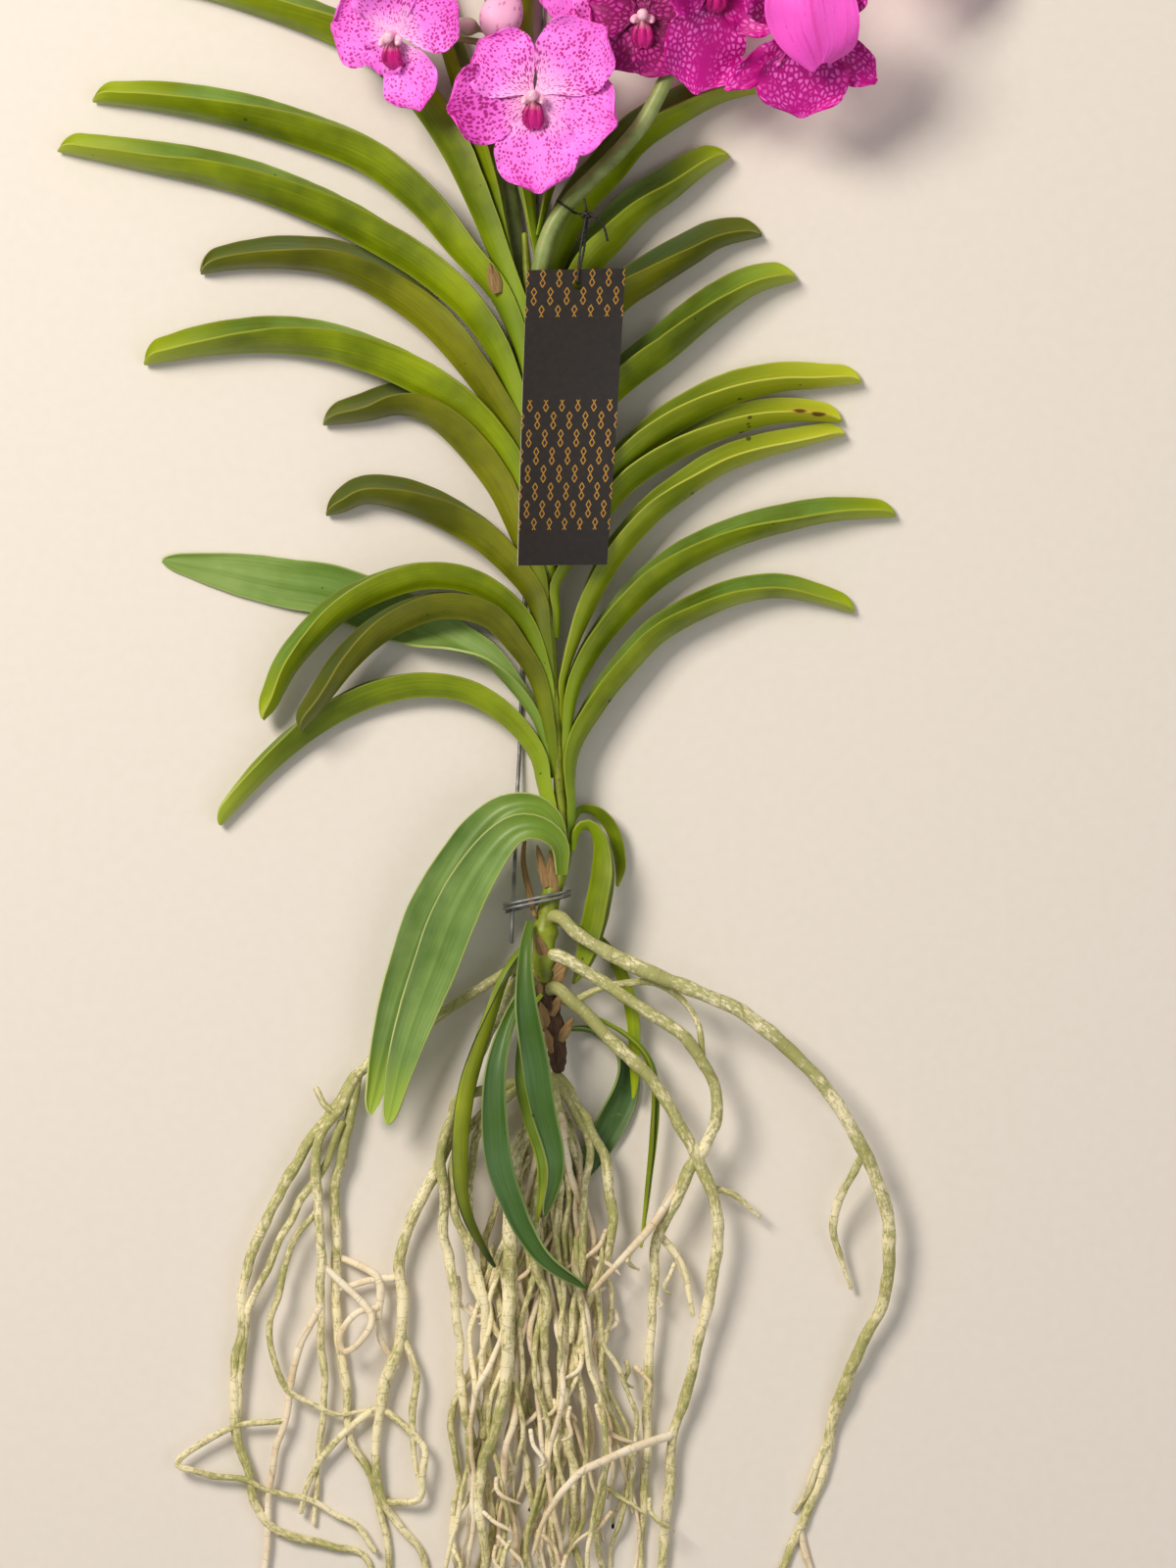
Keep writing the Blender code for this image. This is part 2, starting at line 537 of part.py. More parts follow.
ROOTS_LEFT = (
    (((546, 985), (505, 1000), (470, 1022), (430, 1050), (392, 1072), (362, 1098)),
     (18, 14, 10, 9, 10), (3.0, 2.8, 2.6, 2.6), 185),
    (((362, 1098), (339, 1136), (316, 1163), (293, 1203), (273, 1243), (256, 1279), (246, 1319),
      (245, 1362), (238, 1392), (238, 1438), (240, 1471), (250, 1501), (260, 1541), (276, 1564),
      (303, 1574), (339, 1584), (371, 1594), (388, 1640)), (10, 10, 8, 6, 4, 1.0),
     (2.8, 2.7, 2.5, 2.3, 1.2)),
    (((362, 1100), (346, 1133), (329, 1156), (321, 1183), (323, 1219), (326, 1259), (327, 1292),
      (326, 1325), (326, 1362), (329, 1398), (329, 1438), (324, 1490), (318, 1560)),
     (11, 15, 14, 11, 8, 2), (2.6, 2.4, 2.2, 1.1)),
    (((364, 1098), (351, 1166), (341, 1213), (341, 1252), (342, 1299), (342, 1339), (346, 1379),
      (352, 1418), (356, 1471), (376, 1508), (386, 1544), (395, 1600), (398, 1690)),
     (10, 6, 5, 4, 3, 1.0), (2.8, 2.6, 2.4, 2.0, 1.1)),
    (((348, 1146), (326, 1199), (303, 1229), (293, 1252), (276, 1286), (260, 1322), (250, 1342),
      (248, 1369), (243, 1412), (241, 1451)), (12, 9, 9, 8, 6), (2.0, 1.9, 1.8)),
    (((324, 1236), (299, 1266), (291, 1292), (283, 1325), (274, 1352), (277, 1385), (289, 1415),
      (303, 1428), (339, 1445), (372, 1443)), (12, 12, 12, 10, 6), (1.8, 1.8, 1.7, 1.0)),
    (((326, 1335), (306, 1375), (296, 1412), (289, 1451), (276, 1505), (271, 1550),
      (268, 1620), (262, 1680)), (12, 9, 7, 4, 0.8), (1.9, 1.9, 1.8, 1.0)),
    (((288, 1453), (260, 1455), (233, 1460), (203, 1476), (179, 1498), (210, 1508), (246, 1513),
      (269, 1524), (316, 1536), (339, 1548), (362, 1561), (382, 1590)), (8, 8, 8, 6, 5, 4),
     (1.7, 1.7, 1.6, 1.6)),
    (((382, 1440), (356, 1460), (332, 1485), (316, 1511), (304, 1548)), (6, 7, 6, 5),
     (1.9, 1.9, 1.4)),
    (((329, 1292), (352, 1315), (379, 1342), (369, 1368), (350, 1380), (346, 1362),
      (362, 1342), (384, 1336)), (12, 14, 17, 16, 14, 11), (1.8, 1.8, 1.6)),
    (((344, 1140), (330, 1128), (322, 1110)), (13, 13, 14), (2.0, 1.8, 1.4)),
    (((550, 992), (505, 1040), (470, 1120), (452, 1180), (425, 1233), (412, 1266), (407, 1296),
      (410, 1329), (409, 1362), (399, 1395), (389, 1428), (384, 1461), (382, 1501), (389, 1534),
      (405, 1561), (424, 1581), (434, 1610), (432, 1680)), (17, 12, 9, 7, 6, 4, 1.0),
     (3.2, 3.2, 3.0, 2.8, 2.4, 1.3), 200),
    (((407, 1306), (376, 1309), (345, 1318)), (6, 8, 5), (2.0, 1.8, 1.4)),
    (((408, 1362), (422, 1395), (424, 1415), (420, 1445), (422, 1485), (430, 1530)), (6, 9, 6),
     (1.9, 1.9, 1.1)),
    (((388, 1440), (412, 1458), (432, 1480), (430, 1505), (427, 1534), (393, 1538)),
     (5, 10, 10, 4), (1.9, 1.9, 1.6)),
    (((343, 1285), (376, 1299), (387, 1319), (386, 1362), (404, 1400)), (4, 10, 10, 6),
     (1.9, 1.9, 1.5)),
)
ROOTS_CENTRE = (
    (((566, 1100), (505, 1108), (460, 1118), (447, 1145), (445, 1176), (447, 1219), (444, 1249),
      (449, 1280), (455, 1312), (463, 1355), (473, 1385), (483, 1422), (490, 1461), (495, 1505),
      (490, 1544), (491, 1600), (486, 1700)), (17, 22, 20, 16, 11, 6, 1.0),
     (2.8, 2.6, 2.4, 2.2, 1.2)),
    (((564, 1100), (520, 1112), (476, 1150), (466, 1213), (466, 1259), (475, 1292), (490, 1332),
      (496, 1372), (498, 1412), (496, 1470)), (17, 19, 18, 14, 9), (2.4, 2.3, 2.0)),
    (((566, 1098), (520, 1114), (491, 1145), (485, 1186), (480, 1239), (476, 1286), (484, 1330),
      (510, 1380)), (17, 20, 21, 18, 13), (2.4, 2.2, 1.9)),
    (((566, 1100), (546, 1150), (525, 1215), (517, 1250), (515, 1312), (513, 1355), (515, 1395),
      (511, 1432), (505, 1461), (498, 1498), (493, 1560), (500, 1640), (506, 1740)),
     (17, 20, 22, 20, 15, 9, 1.0), (3.6, 3.8, 3.4, 3.0, 2.2, 1.2)),
    (((568, 1098), (596, 1122), (612, 1150), (617, 1189), (615, 1246), (612, 1286),
      (602, 1319), (590, 1362), (587, 1405), (583, 1455), (586, 1495), (586, 1544), (589, 1600),
      (596, 1700)), (17, 17, 15, 11, 8, 1.0), (2.8, 2.6, 2.4, 2.2, 1.2)),
    (((568, 1102), (592, 1156), (599, 1206), (596, 1252), (588, 1310), (592, 1370)),
     (17, 19, 18, 13), (2.2, 2.0, 1.6)),
    (((567, 1102), (558, 1180), (546, 1240), (544, 1292), (560, 1325), (562, 1365), (556, 1420),
      (560, 1480), (552, 1560), (548, 1650), (556, 1760)), (17, 18, 18, 15, 11, 6, 1.0),
     (2.6, 2.6, 2.4, 2.2, 1.2)),
)
LOOSE_ROOT_SEED = 7
LOOSE_ROOT_COUNT = 7


def loose_roots():
    """Return seeded wavering roots that fill the middle of the skirt, fanning from the stump."""
    draw = random.Random(LOOSE_ROOT_SEED)
    strands = []
    for index in range(LOOSE_ROOT_COUNT):
        foot = 466 + index * 156 / (LOOSE_ROOT_COUNT - 1)
        end = draw.uniform(1560, 1750)
        height = draw.choice((5, 8, 11, 14))
        sway = [draw.uniform(-10, 10) for _ in range(6)]
        route = [(566 + draw.uniform(-2, 2), 1100)]
        for step, shift in enumerate(sway):
            part = (step + 1) / len(sway)
            spread = 1 - (1 - part) ** 2.4
            route.append((566 + (foot - 566) * spread + shift, 1100 + (end - 1100) * part))
        strands.append((route, (17, height, height, height * 0.6, 1.2), (2.0, 1.8, 1.9, 1.0)))
    return strands


def make_roots():
    for name, routes in {
        "root_right_long": ROOTS_RIGHT_LONG,
        "roots_right": ROOTS_RIGHT,
        "roots_left": ROOTS_LEFT,
        "roots_centre": (*ROOTS_CENTRE, *loose_roots()),
    }.items():
        strands = [root(name + "_strand", *route) for route in routes]
        skirt = fuse(name, strands, root_skin())
        keep_above_surface(skirt)


# A bloom: the grid place and height of its heart, the way it faces, and its sepals and petals,
# each with the angle it points at, its length, its width and how far its tip comes forward.
BLOOMS = {
    "bloom_left_01": ((546, 107, 52), (-0.12, -0.10, 1), petal_light, (
        (43, 50, 41, 3), (-20, 45, 42, 6), (-87, 49, 42, 5), (188, 44, 40, 8), (134, 40, 38, 0))),
    "bloom_left_02": ((404, 44, 46), (-0.4, -0.3, 1), petal_light, (
        (20, 42, 36, 6), (95, 34, 34, 18), (168, 34, 38, 2), (-72, 40, 30, 6),
        (-120, 22, 22, 0))),
    "bloom_left_03": ((600, -40, 34), (0.0, -0.25, 1), petal_light, (
        (-62, 36, 36, 4), (-118, 36, 36, 4), (20, 38, 34, 4), (90, 38, 34, 2),
        (160, 38, 34, 4))),
    "bloom_left_04": ((452, -150, 40), (-0.5, 0.2, 1), petal_light, (
        (18, 42, 38, 5), (90, 42, 36, 3), (162, 42, 38, 5), (234, 42, 36, 5),
        (306, 42, 36, 5))),
    "bloom_right_01": ((655, 24, 46), (0.0, -0.1, 1), petal_deep, (
        (-58, 34, 34, 0), (-122, 31, 34, -1), (14, 30, 30, 2), (90, 36, 34, 0),
        (166, 28, 30, 0))),
    "bloom_right_02": ((729, -10, 55), (0.3, -0.35, 1), petal_deep, (
        (-97, 58, 42, 6), (-30, 38, 30, 16), (40, 42, 36, 4), (112, 42, 36, 2),
        (190, 30, 30, 14))),
    "bloom_right_03": ((815, 40, 62), (0.1, -0.35, 1), petal_deep, (
        (-88, 46, 46, 2), (-35, 48, 22, 2), (60, 38, 40, 12), (128, 38, 36, 12),
        (-138, 50, 14, -4))),
    "bloom_right_04": ((925, -70, 46), (0.5, -0.1, 1), petal_deep, (
        (-90, 36, 34, 4), (-18, 40, 36, 4), (54, 40, 34, 2), (126, 40, 36, 4),
        (198, 38, 34, 4))),
    "bloom_right_05": ((684, -150, 54), (-0.1, 0.2, 1), petal_deep, (
        (-90, 42, 36, 4), (-18, 42, 38, 4), (54, 42, 36, 3), (126, 42, 38, 4),
        (198, 42, 36, 4))),
    "bloom_right_06": ((838, -150, 50), (0.35, 0.2, 1), petal_deep, (
        (-80, 42, 36, 4), (-8, 42, 38, 4), (64, 42, 36, 3), (136, 42, 38, 4),
        (208, 42, 36, 4))),
}
TEPAL_OUTLINE = ((0.06, 0.09), (0.3, 0.58), (0.62, 1.0), (0.88, 0.78), (1.0, 0.3))
TEPAL_LANES = (-1.0, 0.0, 1.0)
HEART_RADIUS = 3.6
TEPAL_LAYERS = (1.2, -1.6, -0.2, -1.6, 1.2)


def bloom_frame(heart, facing):
    """Return the placement that stands a bloom at its heart, facing the given way."""
    out = Vector(facing).normalized()
    across = Vector((0, 1, 0)).cross(out).normalized()
    turn = Matrix((across, out.cross(across), out)).transposed().to_4x4()
    return Matrix.Translation(spot(*heart)) @ turn


def tepal_rows(frame, angle, length, width, forward, layer):
    """Return the rows of points of one sepal or petal, spoon shaped, on a narrow claw."""
    turn = Matrix.Rotation(math.radians(angle), 4, "Z")
    rows = []
    for reach, spread in TEPAL_OUTLINE:
        row = []
        for lane in TEPAL_LANES:
            lift = layer * spread + forward * reach**2 + 2.0 * lane**2 * spread
            blunt = reach * length - 0.06 * length * lane**2 * reach
            row.append(frame @ turn @ Vector((blunt, lane * spread * width / 2, lift)))
        rows.append(row)
    return rows


def bloom(name, heart, facing, finish, tepals):
    """Make one flower: sepals and petals round a heart with its lip and column."""
    frame = bloom_frame(heart, facing) @ Matrix.Scale(MM, 4)
    cage = bmesh.new()
    bmesh.ops.create_uvsphere(cage, u_segments=6, v_segments=5, radius=HEART_RADIUS)
    bmesh.ops.transform(cage, matrix=frame, verts=cage.verts)
    mesh = bpy.data.meshes.new(name)
    cage.to_mesh(mesh)
    cage.free()
    pieces = [place(name + "_heart", mesh, finish())]
    for index, (angle, length, width, forward) in enumerate(tepals):
        rows = tepal_rows(frame, angle, length, width, forward, TEPAL_LAYERS[index])
        pieces.append(blade(name + "_tepal", rows, TEPAL_THICKNESS, finish()))
    column = [frame @ Vector(point) for point in ((0, 0.6, 1), (0, 1.0, 9.5))]
    pieces.append(tube(name + "_column", column, (2.6, 2.0), finish(), 0))
    lip = [frame @ Vector(point) for point in ((0, -1, 1), (0, -8, 6), (0, -16, 5))]
    pieces.append(tube(name + "_lip", lip, (2.0, 3.4, 1.8), finish(), 0))
    for piece in pieces[1:6]:
        piece.data = baked(piece)
        piece.modifiers.clear()
    fuse(name, pieces, finish())


def make_blooms():
    for name, (heart, facing, finish, tepals) in BLOOMS.items():
        bloom(name, heart, facing, finish, tepals)


RIGHT_RACHIS = (
    (549, 318, 31.5), (551, 276, 32), (562, 238, 34), (582, 208, 35), (608, 182, 36),
    (635, 155, 37), (656, 129, 38), (675, 94, 38), (690, 60, 37), (706, 10, 35),
    (722, -60, 33), (738, -130, 32), (752, -190, 31), (760, -232, 31),
)
LEFT_RACHIS = (
    (533, 292, 4.6), (525, 232, 4.8), (516, 160, 6), (513, 118, 9), (511, 80, 17),
    (505, 30, 23), (496, -30, 24), (486, -90, 25), (480, -150, 26), (476, -190, 26),
)


def pedicel(name, start, heart, facing):
    """Return a bloom's stalk, from the rachis to just short of the back of its heart."""
    out = Vector(facing).normalized()
    seat = spot(*heart) - out * (HEART_RADIUS + SEAT_GAP + 0.4) * MM
    foot = spot(*start)
    bend = seat - out * 12 * MM
    line = smooth([foot, (foot + bend) / 2, bend, seat], 4)
    return tube(name, line, PEDICEL_RADII, stem_green(), 0)


def young_bud(name, foot, tip, radius):
    """Return a small closed bud on its stalk."""
    line = smooth([spot(*foot), spot(*foot).lerp(spot(*tip), 0.5), spot(*tip)], 5)
    return tube(name, line, (1.3, 1.4, radius, radius * 0.85, 0.8), stem_green())


def make_spikes():
    """Make both flower stalks, each with its pedicels and young buds."""
    right = [tube("rachis", smooth([spot(*p) for p in RIGHT_RACHIS], 20),
                  [blend(RIGHT_RACHIS_RADII, i / 19) for i in range(20)],
                  stem_green(), 2)]
    left = [tube("rachis", smooth([spot(*p) for p in LEFT_RACHIS], 16),
                 [blend(LEFT_RACHIS_RADII, i / 15) for i in range(16)],
                 stem_green())]
    starts = {
        "bloom_left_01": (left, (511, 78, 18)),
        "bloom_left_02": (left, (507, 46, 22)),
        "bloom_left_03": (left, (491, -40, 24)),
        "bloom_left_04": (left, (483, -120, 25)),
        "bloom_right_01": (right, (691, 58, 37)),
        "bloom_right_02": (right, (706, 10, 35)),
        "bloom_right_03": (right, (716, -34, 34)),
        "bloom_right_04": (right, (727, -80, 33)),
        "bloom_right_05": (right, (735, -116, 32)),
        "bloom_right_06": (right, (744, -156, 31.5)),
    }
    for name, (stalks, start) in starts.items():
        stalks.append(pedicel("pedicel", start, BLOOMS[name][0], BLOOMS[name][1]))
    left.append(young_bud("bud", (499, 34, 23), (462, 26, 34), 4.4))
    left.append(young_bud("bud", (478, -180, 26), (470, -232, 28), 4.2))
    left.append(young_bud("bud", (480, -150, 26), (520, -196, 26), 4.6))
    right.append(young_bud("bud", (754, -196, 31), (722, -244, 34), 5.0))
    right.append(young_bud("bud", (760, -225, 31), (778, -286, 31), 4.2))
    right.append(young_bud("bud", (757, -205, 31), (806, -246, 33), 4.6))
    fuse("spike_right", right, stem_green())
    fuse("spike_left", left, stem_green())


def make_pink_bud():
    """Make the swollen pink bud of the left spike, with its own short stalk."""
    line = [spot(*p) for p in (
        (502, -6, 29), (518, -16, 31), (527, -8, 33), (520, 6, 35), (510, 26, 36), (502, 48, 35),
    )]
    tube("bud_pink", smooth(line, 9), (1.3, 1.4, 1.5, 2.6, 7.0, 10.0, 10.6, 8.2, 1.6),
         bud_pink(), 2)


RING_STEPS = 32
RING_PITCH = 2.2


def make_wire():
    """Make the wire hanger behind the plant with its hook, and the wire ring at the stem."""
    straight = [(522, 962, 20), (523, 925, 18.5), (525, 880, 13), (527, 820, 7), (530, 760, 3),
                (532, 690, 1.4), (535, 600, 1.4), (541, 420, 1.4), (548, 200, 1.4),
                (556, -40, 1.4), (562, -190, 1.4)]
    hook_radius = 34
    middle = (562 - hook_radius, -212)
    turn = [(middle[0] + hook_radius * math.cos(angle), middle[1] - hook_radius * math.sin(angle),
             1.4) for angle in (math.radians(22.5 * step) for step in range(11))]
    line = smooth([spot(*p) for p in straight], 12) + [spot(*p) for p in turn]
    tube("wire_hanger", line, [WIRE_RADIUS] * len(line), galvanised_wire())
    centre = spot(548, 919, 18.5)
    reach = (16.8 * MM, 7.5 * MM)
    coil = []
    for step in range(RING_STEPS + 1):
        angle = math.radians(200 + step * 22.5)
        rise = (4 * math.cos(angle) + RING_PITCH * (step / 16 - 1)) * MM
        coil.append(centre + Vector((
            reach[0] * math.cos(angle), rise, reach[1] * math.sin(angle),
        )))
    tube("wire_ring", coil, [WIRE_RADIUS * 0.8] * len(coil), galvanised_wire(), 0)


TAG_TOP = (588, 279, 41.0)
TAG_BOTTOM = (574, 578.5, 40.5)


def tag_point(across, along):
    """Return a point on the card: across from -1 to 1, along from its top, 0, to its foot, 1."""
    middle = spot(*TAG_TOP).lerp(spot(*TAG_BOTTOM), along)
    turn = math.radians(6 + 20 * along)
    bow = -2.0 * math.sin(math.pi * along)
    side = Vector((math.cos(turn), 0.03, -math.sin(turn)))
    return middle + side * across * TAG_WIDTH / 2 * MM + Vector((0, 0, bow * MM))


def make_tag():
    """Make the hanging card, punched near its top, and the string that ties it to the spike."""
    rows = [[tag_point(across, row / 8) for across in (-1, -0.33, 0.33, 1)] for row in range(9)]
    card = blade("tag_card", rows, TAG_THICKNESS * MM, tag_card())
    eye = tag_point(0.04, 0.055)
    cage = bmesh.new()
    bmesh.ops.create_cone(cage, cap_ends=True, segments=12, radius1=TAG_HOLE_RADIUS * MM,
                          radius2=TAG_HOLE_RADIUS * MM, depth=12 * MM,
                          matrix=Matrix.Translation(eye))
    mesh = bpy.data.meshes.new("punch")
    cage.to_mesh(mesh)
    cage.free()
    punch = bpy.data.objects.new("punch", mesh)
    punch.display_type = "WIRE"
    punch.hide_render = True
    bpy.data.collections["cutters"].objects.link(punch)
    hole = card.modifiers.new("hole", "BOOLEAN")
    hole.operation = "DIFFERENCE"
    hole.object = punch
    mesh = baked(card)
    bpy.data.objects.remove(card)
    bpy.data.objects.remove(punch)
    place("tag", mesh, tag_card())

    knot = spot(599, 224, 40)
    front = [knot + Vector((-0.4, 0, 0.5)) * MM, spot(592, 262, 42),
             eye + Vector((0.3, 3.2, 2.2)) * MM, eye + Vector((0.3, 1.1, 1.6)) * MM,
             eye + Vector((0.3, 1.1, -1.6)) * MM, eye + Vector((0, 3.2, -2.0)) * MM,
             spot(596, 258, 37.5), knot + Vector((0.4, 0, -0.5)) * MM]
    strand = tube("strand", front, [STRING_RADIUS] * len(front), tie_string(), 0)
    ring_middle = spot(577.5, 214.5, 34.8)
    along = (spot(582, 208, 35) - spot(562, 238, 34)).normalized()
    across = along.cross(Vector((0, 0, 1))).normalized()
    ring = [ring_middle + (across * math.cos(a) + across.cross(along) * math.sin(a)) * 5.3 * MM
            for a in (math.radians(10 + 30 * step) for step in range(13))]
    loop = tube("loop", ring, [STRING_RADIUS] * len(ring), tie_string(), 0)
    bundle = [ring_middle + across * 5.3 * MM, knot + Vector((-1.2, 0, 0)) * MM,
              knot + Vector((1.4, 0.3, 0.2)) * MM]
    pieces = [tube("knot", bundle, (0.9, 1.7, 1.3), tie_string())]
    for tail in (
        [knot, spot(608, 226, 41), spot(616, 236, 41), spot(620, 250, 40)],
        [knot, spot(598, 216, 42), spot(596, 208, 41)],
    ):
        pieces.append(tube("tail", tail, [STRING_RADIUS] * len(tail), tie_string(), 0))
    fuse("tag_tie", [*pieces, strand, loop], tie_string())


def main():
    for body in list(bpy.data.objects):
        bpy.data.objects.remove(body)
    for name in ("vanda_orchid", "cutters"):
        bpy.context.scene.collection.children.link(bpy.data.collections.new(name))
    make_stem()
    make_leaves()
    make_roots()
    make_blooms()
    make_spikes()
    make_pink_bud()
    make_wire()
    make_tag()
    for body in bpy.data.collections["vanda_orchid"].objects:
        body.data.shade_smooth()
        body.data.set_sharp_from_angle(angle=math.radians(50))


main()
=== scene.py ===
"""Looks of a bare-rooted vanda orchid that lies on its back, with its hanger and tag.

Every leaf, bloom, root and stalk is modelled again in place of its plain solid, on the same
route and at the same size, with its own fine surface and a finish worked out from what the
real one is made of.
"""

import logging
import math
import random
from dataclasses import dataclass, field
from enum import Enum, IntEnum
from typing import Any, Callable, Sequence

import bpy
from mathutils import Matrix, Vector, noise

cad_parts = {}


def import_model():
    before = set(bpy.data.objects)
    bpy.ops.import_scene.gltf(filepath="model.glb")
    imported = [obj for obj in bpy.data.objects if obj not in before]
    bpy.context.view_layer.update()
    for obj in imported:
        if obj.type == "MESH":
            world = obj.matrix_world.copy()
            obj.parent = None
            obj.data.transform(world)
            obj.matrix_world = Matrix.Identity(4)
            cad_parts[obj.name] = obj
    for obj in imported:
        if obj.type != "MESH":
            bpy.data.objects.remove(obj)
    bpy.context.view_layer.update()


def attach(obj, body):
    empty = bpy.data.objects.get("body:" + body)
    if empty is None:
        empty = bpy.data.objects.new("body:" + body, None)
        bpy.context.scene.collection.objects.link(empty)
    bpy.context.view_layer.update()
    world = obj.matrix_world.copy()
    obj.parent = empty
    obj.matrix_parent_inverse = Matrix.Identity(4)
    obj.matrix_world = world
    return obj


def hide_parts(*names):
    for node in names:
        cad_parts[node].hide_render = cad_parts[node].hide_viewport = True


LOG = logging.getLogger("vanda")
MM = 0.001
BODY = "root"

# The plant is laid out on a grid over its front, across and down, in steps of half a
# millimetre. Heights above the surface, radii and widths are in millimetres.
GRID_STEP = 0.5 * MM
GRID_MIDDLE = (525.5, 737.0)
STEM_HEIGHT = 18.0

# The refractive index of tissue full of water and wax.
WATERY = 1.45

Route = Sequence[tuple[float, float, float]]
# Gives a point of a sheet from its share across, -1 to 1, and its share along, 0 to 1.
Place = Callable[[float, float], Vector]

# The stem's middle line, from its foot to its top.
STEM_LINE = (
    (555, 1002), (555, 980), (556, 950), (562, 915), (570, 890), (574, 868), (572, 825),
    (570, 780), (566, 720), (560, 640), (553, 545), (545, 450), (541, 370), (539, 300), (536, 250),
    (535, 238),
)

# A strap leaf is a folded blade. From its base to its tip: the angle of each half to the
# fold's middle, how far the fold rolls its near half outward, and its height.
STRAP_FOLD = (49, 36, 28, 26, 30, 33, 35)
LEFT_ROLL = (0, 0, 0, 8, 20, 30, 33)
RIGHT_ROLL = (0, 4, 14, 24, 32, 36, 36)
STRAP_HEIGHT = (18, 17, 14.5, 11, 7.5, 4.5, 3)

# Leaves in two ranks up the stem: where the base clasps it, the line of the fold from there to
# the tip, the half width at the widest, and what differs from the common strap.
LEFT_LEAVES = {
    "leaf_left_01": (322, ((502, 268), (479, 214), (450, 155), (415, 103), (372, 62), (320, 33),
        (230, 0), (150, -22)), 18.5, {}),
    "leaf_left_02": (362, ((501, 305), (461, 262), (421, 216), (372, 176), (322, 153), (239, 126),
        (156, 108), (92, 99)), 19.5, {}),
    "leaf_left_03": (455, ((504, 375), (471, 325), (425, 285), (372, 252), (322, 226), (239, 193),
        (140, 169), (56, 150)), 19.5, {}),
    "leaf_left_04": (495, ((518, 450), (488, 405), (438, 345), (388, 305), (339, 279), (289, 271),
        (239, 271), (203, 276)), 19.5, {}),
    "leaf_left_05": (530, ((510, 473), (470, 430), (405, 392), (355, 372), (322, 363), (272, 357),
        (206, 360), (145, 369)), 20.0, {}),
    "leaf_left_06": (590, ((525, 557), (503, 510), (481, 478), (455, 448), (431, 428), (405, 421),
        (372, 427), (329, 431)), 18.0, {}),
    "leaf_left_07": (650, ((535, 610), (494, 567), (462, 545), (416, 522), (375, 512), (350, 520),
        (332, 524)), 17.5, {}),
    "leaf_left_09": (690, ((533, 648), (510, 622), (475, 604), (431, 601), (387, 614), (353, 632),
        (325, 657), (300, 686), (281, 720), (268, 734)), 15.5,
        {"heights": (18, 18, 17.5, 16, 14, 12, 11)}),
    "leaf_left_10": (738, ((539, 692), (517, 662), (494, 639), (462, 631), (431, 636), (394, 654),
        (362, 682), (331, 720), (307, 746)), 15.0, {"heights": (18, 18.5, 18.5, 18, 18, 18, 18)}),
    "leaf_left_11": (838, ((548, 800), (541, 773), (519, 745), (487, 722), (456, 712), (416, 712),
        (369, 725), (322, 751), (275, 789), (223, 842)), 14.0,
        {"heights": (18, 17, 13.5, 10.5, 8, 6.5, 5), "roll": (0, 0, 0, 4, 8, 10, 10)}),
}
RIGHT_LEAVES = {
    "leaf_right_01": (335, ((575, 275), (600, 220), (634, 181), (657, 152), (687, 129), (735, 101),
        (780, 88)), 20.0, {}),
    "leaf_right_02": (372, ((585, 325), (611, 278), (631, 254), (659, 223), (690, 199), (718, 175),
        (745, 156)), 19.0, {}),
    "leaf_right_03": (415, ((590, 365), (639, 315), (674, 290), (710, 266), (738, 248),
        (778, 237)), 18.0, {}),
    "leaf_right_04": (475, ((600, 440), (641, 400), (686, 365), (718, 337), (746, 314), (777, 294),
        (814, 282)), 18.5, {}),
    "leaf_right_05": (550, ((600, 520), (637, 485), (670, 456), (706, 432), (750, 410), (797, 397),
        (836, 393), (880, 388)), 16.5, {}),
    "leaf_right_06": (595, ((598, 560), (633, 513), (659, 489), (690, 469), (730, 449), (777, 433),
        (817, 427), (860, 428)), 15.0, {}),
    "leaf_right_07": (690, ((600, 635), (631, 578), (667, 535), (698, 509), (738, 482), (777, 466),
        (817, 454), (863, 441)), 13.5, {}),
    "leaf_right_08": (748, ((591, 705), (611, 669), (639, 634), (674, 600), (714, 574), (761, 553),
        (809, 539), (856, 529), (915, 525)), 15.0, {}),
    "leaf_right_09": (825, ((590, 770), (619, 720), (647, 685), (678, 653), (718, 630), (757, 614),
        (797, 608), (836, 614), (872, 624)), 13.5, {}),
}

